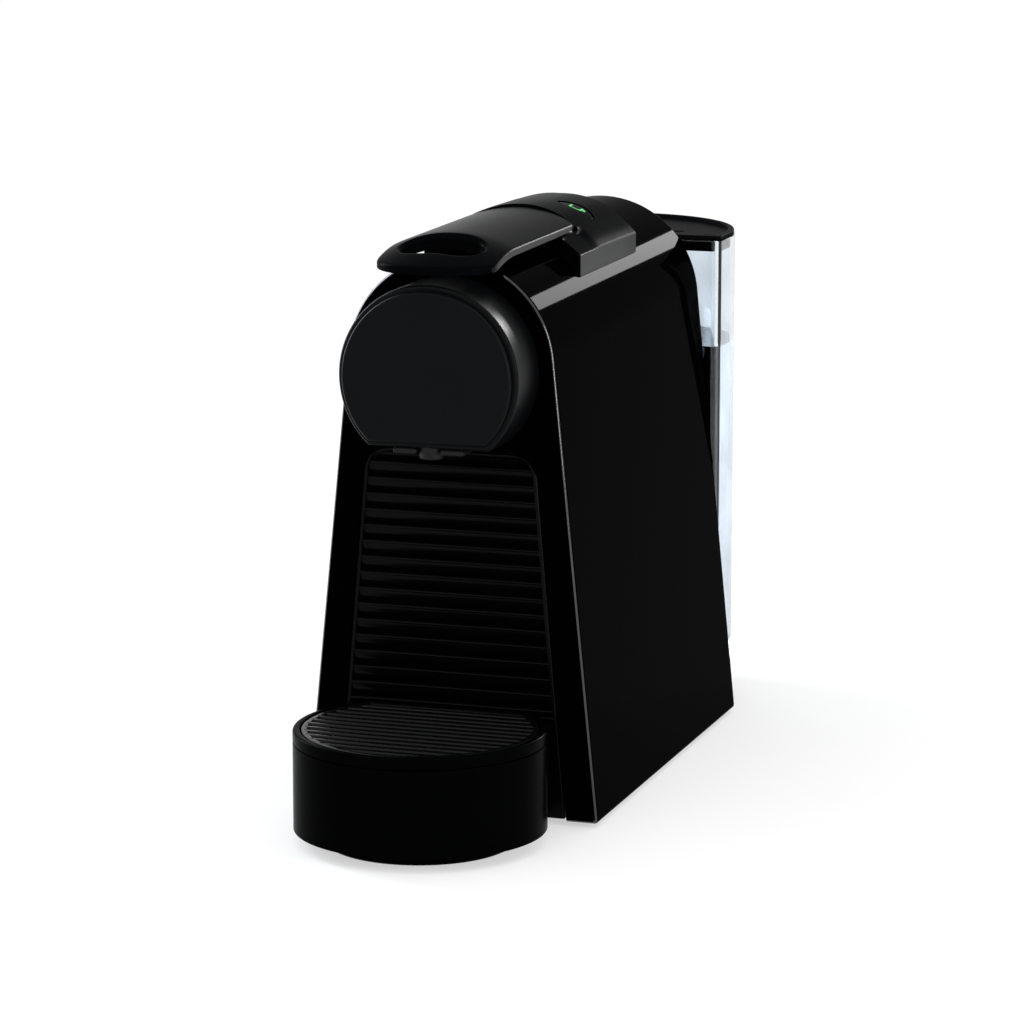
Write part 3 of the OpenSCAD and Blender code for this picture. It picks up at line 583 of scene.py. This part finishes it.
rings += [plate_ring(1 - k / 20, PLATE_T, edge_in=ROUND, hole_out=1.0) for k in range(1, 20)]
rings += [plate_ring(0, PLATE_T, hole_out=1.0), plate_ring(0, PLATE_T - 0.3, hole_out=0.2)]
lever = loft("lever_plate", rings, ring=True)
hang(lever, "lever", "lever_satin", "lever")
# The lever's upright sides get the painted sheen.
give_painted_sheen(lever, 15)

# A short collar under the hole keeps the eye from looking past the plate.
SKIRT_TOP, SKIRT_DROP, SKIRT_IN, SKIRT_OUT = -0.4, 2.45, 0.3, 1.3
section = [(SKIRT_TOP, SKIRT_IN), (SKIRT_DROP, SKIRT_IN), (SKIRT_DROP, SKIRT_OUT), (SKIRT_TOP, SKIRT_OUT)]
skirt = [plate_ring(0, PLATE_T + d, hole_out=out) for d, out in section]
hang(loft("hole_skirt", skirt, ring=True), "lever", "lever_satin")

# %% [markdown]
# ## The lever's hub
# Behind the plate a thick round bar carries the hinge pin. It is a separate moulding
# here, because it only touches the underside of the plate. Its upper side is kept
# below the crown, so nothing stands proud of the smooth top. The pin ends just
# outside the bar, because the finished ears are lower than the CAD's.

# %% Hub bar and pin
HUB_R, PIN_R, PIN_HALF = 6.5, 2.0, 22.3


def hinge_circle(x, r):
    """A circle about the hinge line, at a distance from the middle."""
    return [(x, u, v) for u, v in arc(HINGE_Y, HINGE_Z, r, 0, 352.5, 47)]


bars = []
for i in range(-20, 21):
    x = LEVER_W * 0.985 * i / 20
    roof = crown_z(x) - 0.7
    tight = 0.5 if abs(i) == 20 else 0.0
    bars.append([(u, v, min(w, roof)) for u, v, w in hinge_circle(x, HUB_R - tight)])
hang(loft("lever_hub", bars), "lever", "lever_satin")
pin = loft("hinge_pin", [hinge_circle(x, PIN_R) for x in (-PIN_HALF, PIN_HALF)])
hang(pin, "machine", "steel", "lever_pin")

# %% [markdown]
# ## The console
# Behind the lever sits the console: a crowned cover with two ears that hold the hinge
# pin. Its outline follows a wide crown above and the housing's arch below, and it is
# drawn out along the machine. A smooth curve runs through a few measured heights, which
# gives the crown its shape. The ears appear when the lever's notch is cut. Each ear has
# a shallow sunk field on its front face.

# %% Console body and ears
CON_W, CON_Y0, CON_Y1 = 29.8, 58, 128
EAR_R, EAR_CENTRE, EAR_BACK, CROWN_FRONT = 47.5, 159.6, 75, 84
CROWN_LINE = [(-6, 210.1), (0, 210.5), (6, 210.1), (12, 208.7), (17, 206.7), (21, 204.0)]
CROWN_LINE += [(24.5, 201.0), (27.2, 198.5), (29.8, 195.7), (32.4, 192.8)]


def crown_height(x):
    """A smooth curve through the points of the crown line."""
    k = max(i for i, (u, _) in enumerate(CROWN_LINE[:-2]) if u <= x)
    before, (x0, z0), (x1, z1), after = CROWN_LINE[k - 1:k + 3]
    g0 = (z1 - before[1]) / (x1 - before[0]) * (x1 - x0)
    g1 = (after[1] - z0) / (after[0] - x0) * (x1 - x0)
    t = (x - x0) / (x1 - x0)
    height = (2 * t**3 - 3 * t**2 + 1) * z0 + (t**3 - 2 * t**2 + t) * g0
    return height + (3 * t**2 - 2 * t**3) * z1 + (t**3 - t**2) * g1


def console_z(x, y):
    """Height of the console: a crown that sinks to the rear, ears in line with the lever."""
    x = abs(x)
    sink = 1.5 * (max(y - CROWN_FRONT, 0) / 44) ** 1.4 * (1 - 0.7 * x / CON_W)
    high = crown_height(x) - sink
    if x < NOTCH:
        return high
    low = EAR_CENTRE + math.sqrt(EAR_R**2 - x * x) - (x - NOTCH) / 7.1
    t = min(max((y - EAR_BACK) / (CROWN_FRONT - EAR_BACK), 0), 1)
    return low + (high - low) * t * t * (3 - 2 * t)


under_r = ARCH_R + 0.15
foot = math.degrees(math.acos(CON_W / under_r))
across = [CON_W * (1 - i / 40) for i in range(81)]
belly = arc(0, ARCH_Z, under_r, 180 - foot, foot, 60)


def console_ring(y):
    top = [(x, console_z(x, y)) for x in across]
    return upright(top + belly, y)


stations = [CON_Y0, 64, 70, 74, 76, 77.5, 79, 80.5, 82, 84, 92, 100, 114, CON_Y1]
console = loft("console_cover", [console_ring(y) for y in stations])
soften(console, 0.7, 3)
REAR_R, REAR_HALF = CROWN + 0.5, 27.2
rear = arc(0, REAR_ARC_Y, REAR_R, 90 - REAR_HALF, 90 + REAR_HALF, 40)
rear = [(x, y) for x, y in rear if abs(x) < NOTCH]
notch_y = REAR_ARC_Y + math.sqrt(REAR_R**2 - NOTCH**2)
notch = [(NOTCH, CON_Y0 - 4), (NOTCH, notch_y)] + rear + [(-NOTCH, notch_y), (-NOTCH, CON_Y0 - 4)]
cut(console, loft("notch", [level(notch, z) for z in (185, 222)]), hinge_pocket("turning_room"))
EAR_FIELD = [(23.8, 195.0), (28.6, 190.6), (28.6, 195.4), (23.8, 198.9)]
for s in (-1, 1):
    field = [(s * u, v) for u, v in EAR_FIELD]
    cut(console, loft("field", [upright(field, y) for y in (CON_Y0 - 2, CON_Y0 + 0.6)]))
print("console cut", len(console.data.polygons), "faces")

# %% [markdown]
# ## The two buttons
# Two almond buttons sit flush in the console, one for a small cup and one for a large
# one. An almond is the overlap of two circles, so its outline is two arcs. The button
# follows the console's crown a little lower, with a rounded rim, and its hole is the
# same outline grown by a small gap.

# %% Almond outline, holes and buttons
BUTTON_X, BUTTON_Y, BUTTON_A, BUTTON_B = 14.5, 101.2, 6.6, 5.4
BUTTON_GAP, BUTTON_SUNK, BUTTON_ROUND = 0.35, 0.3, 0.6


def almond(grow, steps=40):
    """Two arcs that meet at blunt tips."""
    a, b = BUTTON_A + grow, BUTTON_B + grow
    r = (a * a + b * b) / (2 * b) * 1.02
    half = math.degrees(math.asin(a / r))
    lower = arc(0, r - b, r, -90 - half, -90 + half, steps)
    upper = arc(0, b - r, r, 90 - half, 90 + half, steps)
    return eased(spaced(lower + upper, 160), 10)


def on_console(outline, side, lift):
    spots = [(side * BUTTON_X + x, BUTTON_Y + y) for x, y in outline]
    return [(x, y, console_z(x, y) + lift) for x, y in spots]


for side, words in ((-1, "small"), (1, "large")):
    shape = [(side * BUTTON_X + x, BUTTON_Y + y) for x, y in almond(BUTTON_GAP)]
    cut(console, loft("hole", [level(shape, z) for z in (199, 222)]))
    rim = almond(0)
    loops = [on_console(rim, side, -1.1), on_console(rim, side, -0.8)]
    loops += [on_console(inward(rim, i), side, -0.75 + 0.45 * d / BUTTON_ROUND)
              for i, d in rounding(BUTTON_ROUND, 4)]
    for shrink in (0.75, 0.5, 0.25, 0.08):
        loops.append(on_console([(x * shrink, y * shrink) for x, y in rim], side, -BUTTON_SUNK))
    button = loft(words + "_cup_key", loops)
    hang(button, words + "_cup_button", "button_black", words + "_cup_button", angle=50)
hang(console, "machine", "lever_satin", "top_console", finish=CONSOLE_SATIN, angle=32)
# The console's outer upright sides get the painted sheen.
give_painted_sheen(console, 29)

# %% [markdown]
# ## Cup glyphs
# Each button shows a small lit cup: plain line drawings, one low and one tall. They
# are ribbons of mesh that stand a tenth of a millimetre above the button, with a
# finish that glows a little. A lit window would be a hole with a lamp behind it, which
# would cost much more and look the same.

# %% Draw the cups
def ribbon(path, side, width=0.55):
    """A closed strip along a drawn line on a button."""
    points, faces = [], []
    for k, (x, y) in enumerate(path):
        (x0, y0), (x1, y1) = path[max(k - 1, 0)], path[min(k + 1, len(path) - 1)]
        run = math.hypot(x1 - x0, y1 - y0)
        nx, ny = -(y1 - y0) / run * width / 2, (x1 - x0) / run * width / 2
        for sign in (1, -1):
            px, py = side * BUTTON_X + x + sign * nx, BUTTON_Y + y + sign * ny
            for lift in (-0.5, -0.2):
                points.append((px, py, console_z(px, py) + lift))
    for k in range(len(path) - 1):
        a, b = 4 * k, 4 * k + 4
        faces += [(a, a + 2, b + 2, b), (a + 1, b + 1, b + 3, a + 3)]
        faces += [(a, b, b + 1, a + 1), (a + 2, a + 3, b + 3, b + 2)]
    last = 4 * (len(path) - 1)
    return points, faces + [(0, 1, 3, 2), (last, last + 2, last + 3, last + 1)]


def cup_lines(w, h):
    """The bowl and the handle of a cup, as two drawn lines."""
    r = 0.9
    foot = arc(-w + r, -h + r, r, 180, 270, 6) + arc(w - r, -h + r, r, 270, 360, 6)
    handle = arc(w + 0.2, h * 0.25, 0.95, 95, -95, 10)
    return [[(-w, h)] + foot + [(w, h)], handle]


for side, words, size in ((-1, "small", (1.7, 1.3)), (1, "large", (2.0, 2.1))):
    points, faces = [], []
    for path in cup_lines(*size):
        more, quads = ribbon(path, side)
        faces += [tuple(i + len(points) for i in q) for q in quads]
        points += more
    hang(solid(words + "_cup_glyph", points, faces), words + "_cup_button", "button_black", finish=GLYPH)

# %% [markdown]
# ## The ribbed panel
# The panel above the drip tray is a stack of sixteen louvres, each a concave scoop
# that ends in a thin upper lip. One scoop's profile is repeated up the panel, and each
# point of it is drawn out to the panel's width at that height, which keeps the scoops
# inside the leaning sides and round corners. A narrow frame closes the ends.

# %% Scoops
RIB_Z0, RIB_PITCH, RIBS, SEAM, PANEL_TOP = 42.2, 5.74, 16, 39.4, 132.4
FRAME_W, RIB_DEEP, RIB_BACK = 1.4, 2.62, 3.4


def half_width(z, grow=0.0):
    """Half the panel's width at a height, round corners included."""
    r = PANEL_CORNER + grow
    cz = PANEL_TOP + grow - r
    if z <= cz:
        return panel_side(z, grow)
    cx = panel_side(cz, grow) - r / math.cos(PANEL_SLOPE)
    return cx + math.sqrt(max(r * r - (z - cz) ** 2, 0))


scoop = [(0.35, 1.55), (0.12, 1.75), (0.05, 2.0), (0.1, 2.3), (0.35, 2.5), (0.9, 2.62)]
scoop += [(RIB_DEEP - 2.2 * math.sin(a), 2.7 + 4.55 * a / (math.pi / 2)) for a in
          [math.pi / 2 * i / 9 for i in range(10)]]
line = [(RIB_DEEP, SEAM)]
for k in range(RIBS):
    z0 = RIB_Z0 - 1.6 + k * RIB_PITCH
    line += [(y, z0 + v - 1.55) for y, v in scoop]
line = [(y, z) for y, z in line if SEAM <= z < PANEL_TOP - FRAME_W - 0.05]
line.append((RIB_DEEP, PANEL_TOP - FRAME_W))
columns = 8
points, faces = [], []
for y, z in line:
    w = half_width(z, -FRAME_W)
    points += [(w * (2 * c / columns - 1), y, z) for c in range(columns + 1)]
    points += [(w * (2 * c / columns - 1), RIB_BACK, z) for c in (columns, 0)]
n = columns + 3
for k in range(len(line) - 1):
    a, b = k * n, (k + 1) * n
    faces += [(a + i, a + (i + 1) % n, b + (i + 1) % n, b + i) for i in range(n)]
faces += [tuple(range(n)), tuple(range((len(line) - 1) * n, len(line) * n))]
hang(solid("rib_scoops", points, faces), "drip_unit", "rib_satin", angle=50)

# %% [markdown]
# ## The frame round the ribs
# On the real panel a thin smooth frame hides the ends of the louvres. It could be cut
# from a plate, but a ring of outlines gives its soft front edge in the same step. A
# plain backing behind it keeps the inside dark.

# %% Frame round the scoops and the backing
outer, inner = panel(SEAM, PANEL_TOP, 0, steps=16), panel(SEAM, PANEL_TOP, -FRAME_W, steps=16)
outer_in = panel(SEAM, PANEL_TOP, -0.4, steps=16)
loops = [upright(outer, 3.2), upright(outer, 0.4), upright(outer_in, 0.02)]
loops += [upright(inner, 0.02), upright(inner, 3.2)]
frame_piece = loft("rib_frame", loops, ring=True)
hang(frame_piece, "drip_unit", "rib_satin", "bin_front")
backing = loft("rib_backing", [upright(panel(SEAM, PANEL_TOP, -0.1), y) for y in (3.45, 6.3)])
hang(backing, "drip_unit", "inner_black")

# %% [markdown]
# ## The lower front panel
# Below the ribs a plain panel closes the front and carries the drip tray. It is the
# same leaning outline, cut off at the seam, with a softly rounded edge so that the
# seam reads as a line.

# %% Lower panel
low, high = 2.5, 39.1
right = [(panel_side(low), low), (panel_side(high), high)]
corners = right + [(-u, v) for u, v in reversed(right)]
lower = soften(loft("lower_panel", [upright(corners, y) for y in (0.05, 3.35)]), 0.5, 3)
hang(lower, "drip_unit", "rib_satin", "drawer_front")

# %% [markdown]
# ## The drip tray
# The tray is a round bowl cut flat where it meets the machine. Its outline is again a
# circle with a flat, this time lying down. The base swells from a smaller foot ring
# through a generous lower radius. Over the seam sits the tray proper, whose rim has a
# fine rounded edge that catches a bright line of light.

# %% Base and tray
TRAY_R, TRAY_Y, TRAY_SEAM, TRAY_TOP = 44.5, -32.5, 36.2, 40.6
FOOT_IN, FOOT_H, BOWL_ROUND = 10.5, 5, 8


def tray_ring(inset, z, back=None):
    back = inset if back is None else back
    return [(u, TRAY_Y - v, z) for u, v in flat_circle(TRAY_R - inset, TRAY_Y + back, 132, 30)]


bowl = [[(x, min(y, -0.05), z) for x, y, z in tray_ring(FOOT_IN + 0.8, 0, 0.05)]]
bowl += [tray_ring(FOOT_IN, 0.7, 0.05), tray_ring(FOOT_IN, FOOT_H - 0.6, 0.05)]
bowl += [tray_ring(10.1, FOOT_H, 0.05)]
bowl += [tray_ring(BOWL_ROUND - i, FOOT_H + BOWL_ROUND - d, 0.05) for d, i in rounding(BOWL_ROUND, 10)]
bowl += [tray_ring(0, 20, 0.05), tray_ring(0, TRAY_SEAM - 0.5, 0.05)]
bowl += [tray_ring(0.12, TRAY_SEAM - 0.15, 0.05), tray_ring(0.5, TRAY_SEAM, 0.3)]
bowl += [tray_ring(2.4, TRAY_SEAM, 2.2), tray_ring(2.4, FOOT_H + BOWL_ROUND, 2.2)]
bowl += [tray_ring(11.5, FOOT_H + 2.2, 2.2)]
hang(loft("tray_bowl", bowl), "drip_unit", "tray_satin", "tray_base")

rim = [tray_ring(2.6, 16.05), tray_ring(2.6, TRAY_SEAM + 0.08), tray_ring(0.5, TRAY_SEAM + 0.12, 0.3)]
rim += [tray_ring(0.1, TRAY_SEAM + 0.35, 0.05), tray_ring(0, TRAY_SEAM + 0.7, 0.05)]
rim += [tray_ring(i, TRAY_TOP - 0.9 + d, max(i, 0.05)) for i, d in rounding(0.9, 6)]
rim += [tray_ring(1.9, TRAY_TOP), tray_ring(2.5, TRAY_TOP - 0.25), tray_ring(2.7, TRAY_TOP - 0.8)]
rim += [tray_ring(2.7, 38.0), tray_ring(5.3, 38.0), tray_ring(5.3, 18.0)]
hang(loft("tray_rim", rim), "drip_unit", "tray_satin", "drip_tray")

# %% [markdown]
# ## The drip grid
# The cup stands on a round grid of bars that run across the machine. Each bar is drawn
# as a short beam with a rounded top, ended where it meets the ring, so that the light
# runs along every bar. Two cross bars tie them together underneath.

# %% Bars, ring and ties
PITCH, GRID_Z0, GRID_Z1, GRID_IN = 5.2, 38.02, 40.42, 3.0
profile = [(0, GRID_Z0), (0, GRID_Z1 - 0.5), (0.15, GRID_Z1 - 0.15), (0.5, GRID_Z1)]
profile += [(1.9, GRID_Z1), (2.3, GRID_Z1 - 0.4), (2.4, GRID_Z0)]
ring = [tray_ring(GRID_IN + i, z) for i, z in profile]
hang(loft("grid_ring", ring, ring=True), "drip_grid", "grid_satin", "drip_grid")
section = [(-1.3, 0), (-1.3, 1.7), (-1.1, 2.15), (-0.6, 2.4), (0.6, 2.4), (1.1, 2.15), (1.3, 1.7), (1.3, 0)]
points, faces = [], []
reach = TRAY_R - GRID_IN - 1.2
for k in range(-9, 10):
    y = TRAY_Y + k * PITCH
    if abs(y - TRAY_Y) > reach - 3 or y > -GRID_IN - 1.5:
        continue
    start = len(points)
    for sign in (-1, 1):
        for dy, dz in section:
            x = math.sqrt(reach**2 - (k * PITCH + dy) ** 2)
            points.append((sign * x, y + dy, GRID_Z0 + dz))
    m = len(section)
    faces += [tuple(start + i for i in range(m)), tuple(start + m + i for i in range(m))]
    faces += [(start + i, start + (i + 1) % m, start + m + (i + 1) % m, start + m + i) for i in range(m)]
hang(solid("grid_bars", points, faces), "drip_grid", "grid_satin", angle=40)
TIE = (TRAY_Y - 36, -4.2, GRID_Z0 + 0.02, GRID_Z0 + 1.35)
tie = slab("grid_ties", -19.2, -16.8, *TIE)
cut(tie, slab("tie", 16.8, 19.2, *TIE), join=True)
hang(tie, "drip_grid", "grid_satin")

# %% [markdown]
# ## The water tank
# The tank lifts off the back: a clear D-shaped cup with a half-round rear. The wall is
# modelled with both its faces, because clear plastic shows its thickness at every
# edge. The water is a body of its own that reaches a hair into the wall, so that light
# passes straight from one to the other.

# %% Tank, spigot and water
TANK_R, TANK_Y, TANK_Z0, TANK_TOP, TANK_WALL = 47, 199.2, 12, 185.4, 2.2
TANK_FRONT = LENGTH + 0.6


def tank_ring(inset, z, corner=2.0):
    r, y0 = TANK_R - inset, TANK_FRONT + inset
    right = arc(r - corner, y0 + corner, corner, -90, 0, 6)
    left = arc(-r + corner, y0 + corner, corner, 180, 270, 6)
    return level(right + arc(0, TANK_Y, r, 0, 180, 96) + left, z)


FOOT_ROUND = 1.5
shell = [tank_ring(FOOT_ROUND - FOOT_ROUND * math.sin(a), TANK_Z0 + FOOT_ROUND - FOOT_ROUND * math.cos(a))
         for a in quarter]
outside = [(0, 60), (0, 120), (0, TANK_TOP - 0.5), (0.15, TANK_TOP - 0.12), (0.5, TANK_TOP)]
inside = [(-0.3, TANK_TOP), (0, TANK_TOP - 0.3), (0, 120), (0, 60), (0, TANK_Z0 + 3.9)]
inside += [(0.5, TANK_Z0 + 2.9), (1.5, TANK_Z0 + 2.4)]
shell += [tank_ring(i, z) for i, z in outside] + [tank_ring(TANK_WALL + i, z) for i, z in inside]
tank = loft("tank_shell", shell)
VALVE = (0, LENGTH + 34)
spigot = lathe("spigot", [(3.4, 9), (6.4, 9), (6.8, 9.4), (6.8, 13), (3.4, 13)], VALVE, 48)
cut(tank, spigot, join=True)
cut(tank, loft("bore", [level(arc(*VALVE, 3.4, 0, 352, 44), z) for z in (5, 20)]))
hang(tank, "tank", "tank_clear", "tank")

WATER_Z = 144.0
pool = [tank_ring(TANK_WALL + 1.4, TANK_Z0 + 2.45), tank_ring(TANK_WALL + 0.4, TANK_Z0 + 2.95)]
pool += [tank_ring(TANK_WALL - 0.04, z) for z in (TANK_Z0 + 4, 60, 120, WATER_Z - 0.05)]
pool += [tank_ring(TANK_WALL + 0.1, WATER_Z)]
water = loft("tank_water", pool)
cut(water, loft("valve_room", [level(arc(*VALVE, 5.6, 0, 352, 44), z) for z in (5, 24)]))
hang(water, "tank", "tank_clear", finish=WATER)

# %% [markdown]
# ## The tank's lid
# The lid is a shallow black dish that drops into the tank's rim, with a raised edge
# all round. It is lofted from outlines of the tank itself, so it always fits: up from
# the skirt, over the edge, and down into the dish.

# %% Lid
LID_Z0, LID_Z1 = TANK_TOP + 0.05, TANK_TOP + 1.85
lid = [tank_ring(4.6, TANK_TOP - 4.4), tank_ring(2.6, TANK_TOP - 4.4), tank_ring(2.6, LID_Z0)]
lid += [tank_ring(0.8, LID_Z0), tank_ring(0.4, LID_Z0 + 0.4)]
lid += [tank_ring(0.4 + i, LID_Z1 - 0.7 + d) for i, d in rounding(0.7, 4)]
lid += [tank_ring(2.2, LID_Z1), tank_ring(2.8, LID_Z1 - 0.3), tank_ring(3.1, LID_Z1 - 1.2)]
lid += [tank_ring(3.8, LID_Z1 - 1.5, 3), tank_ring(20, LID_Z1 - 1.55, 3)]
lid_top = loft("lid_dish", lid)
hang(lid_top, "tank_lid", "lid_satin", "tank_lid")

# %% [markdown]
# ## Parts that stay as the CAD made them
# The works inside, the base, the feet and the rear wall have the right shape already.
# They keep their CAD meshes and get the finish of their slot, with the same moulded
# grain as the rest.

# %% Finish every CAD part
slot_of = {s["node"]: s["material_slot"] for s in frame["record"]["subparts"]}
for name, node in frame["nodes"].items():
    finish = FINISH[slot_of[name]]
    if not node.data.materials:
        node.data.materials.append(finish)
    for k in range(len(node.data.materials)):
        node.data.materials[k] = finish
print(len(frame["nodes"]), "CAD parts finished")

# %% [markdown]
# ## Floor and room
# The machine stands on a plain white floor in a white room. The room is white for the
# camera, in reflections and through the tank, and a little dimmer as a source of
# light. The floor is half grey and half glowing where it is looked at, so it stays
# white up to a soft, pale shadow. A white floor without the glow would be simpler, but
# its shadow comes out too dark beside a black machine.

# %% White room
world = bpy.data.worlds.new("white_room")
bpy.context.scene.world = world
world.use_nodes = True
nodes, link = world.node_tree.nodes, world.node_tree.links.new


def seen_directly(nodes, link, low, high):
    """low for lighting, high for what is seen, mirrored or seen through."""
    ray = nodes.new("ShaderNodeLightPath")
    first = nodes.new("ShaderNodeMath")
    first.operation = "MAXIMUM"
    link(ray.outputs["Is Camera Ray"], first.inputs[0])
    link(ray.outputs["Is Glossy Ray"], first.inputs[1])
    second = nodes.new("ShaderNodeMath")
    second.operation = "MAXIMUM"
    link(first.outputs[0], second.inputs[0])
    link(ray.outputs["Is Transmission Ray"], second.inputs[1])
    scale = nodes.new("ShaderNodeMapRange")
    scale.inputs["To Min"].default_value = low
    scale.inputs["To Max"].default_value = high
    link(second.outputs[0], scale.inputs["Value"])
    return scale.outputs["Result"]


sky = nodes["Background"]
sky.inputs["Color"].default_value = (1, 1, 1, 1)
link(seen_directly(nodes, link, 0.95, 1.0), sky.inputs["Strength"])

floor_mat = moulded("matte_floor", (0.5, 0.5, 0.5), 0.8, 30, 0, 0.05, shine=0.0)
nodes, link = floor_mat.node_tree.nodes, floor_mat.node_tree.links.new
for end in nodes["Color Ramp"].color_ramp.elements:
    end.color = (*[min(max(c, 0.497), 0.503) for c in end.color[:3]], 1)
floor_shader = nodes["Principled BSDF"]
floor_shader.inputs["Emission Color"].default_value = (1, 1, 1, 1)
link(seen_directly(nodes, link, 0.0, 0.53), floor_shader.inputs["Emission Strength"])
disc = bpy.data.meshes.new("studio_floor")
around = [i * math.pi / 32 for i in range(64)]
disc.from_pydata([(9 * math.cos(a), 9 * math.sin(a), 0) for a in around], [], [tuple(range(64))])
studio_floor = bpy.data.objects.new("studio_floor", disc)
disc.materials.append(floor_mat)
bpy.context.scene.collection.objects.link(studio_floor)
studio_floor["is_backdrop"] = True
print("room and floor ready")

# %% [markdown]
# ## Lamps
# Polished black shows no light of its own, only the lamps in it. So each lamp is
# placed where its mirror image should fall: a soft box overhead for the room, a strip
# behind on the right that draws the pale band along the shoulder, a cool one on the
# left for the edge of the head, a low one in front for the rounded edges, and a slim
# one on the right for the upright edges. The shoulder strip lights no matt surface,
# because it would throw a second shadow on the floor.

# %% Lamps
def lamp(name, where, target, size, watts, colour=(1, 1, 1), along=None):
    """An area lamp that faces its target; along turns it and makes it a mirror image only."""
    light = bpy.data.lights.new(name, "AREA")
    light.shape = "RECTANGLE"
    light.size, light.size_y = size
    light.energy = watts
    light.color = colour
    obj = bpy.data.objects.new(name, light)
    obj.location = where
    away = (Vector(where) - Vector(target)).normalized()
    side = Vector(along or (-away.y, away.x, 0))
    side = (side - away * side.dot(away)).normalized()
    obj.rotation_euler = Matrix((side, away.cross(side), away)).transposed().to_euler()
    obj.visible_camera = False
    obj.visible_diffuse = along is None
    bpy.context.scene.collection.objects.link(obj)


lamp("overhead", (0, 0.1, 1.9), (0, 0, 0), (1.6, 1.6), 2)
lamp("shoulder_strip", (0.45, 1.894, 0.668), (0.032, 0, 0.185), (0.2, 0.3), 15, along=(0.59, 0, -0.81))
lamp("cool_left", (-0.9, 0.25, 0.45), (0, -0.08, 0.16), (0.3, 0.7), 7, (0.75, 0.85, 1.0))
lamp("front_fill", (-0.45, -1.5, 0.9), (0, 0, 0.12), (0.8, 0.5), 2)
lamp("edge_right", (1.2, -0.55, 0.35), (0.03, -0.08, 0.12), (0.12, 0.6), 5)
print("five lamps")

# %% [markdown]
# ## The camera
# The camera stands at a quarter view from the right, a little above the machine, with
# a long lens that keeps its uprights nearly parallel. There is no shift and no depth
# of field, so that other views stay right as well.

# %% Camera
camera = bpy.data.cameras.new("quarter_view")
camera.sensor_width = 36
camera.lens = 152.29
eye = bpy.data.objects.new("quarter_view", camera)
eye.location = (0.48874, -1.50014, 0.40741)
look = Vector((0.02301, -0.0846, 0.11231)) - eye.location
eye.rotation_euler = look.to_track_quat("-Z", "Y").to_euler()
bpy.context.scene.collection.objects.link(eye)
bpy.context.scene.camera = eye
bpy.context.scene.view_settings.view_transform = "Standard"
print("camera", round(look.length, 3), "m away")

# %% [markdown]
# ## The dressed model's size
# The box round everything that renders, the floor left out, is printed in millimetres.
# The dressed model must not be larger than the CAD model.

# %% Sizes and finish
low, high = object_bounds()
print("visual box in mm:", [round((b - a) * 1000, 1) for a, b in zip(low, high)])
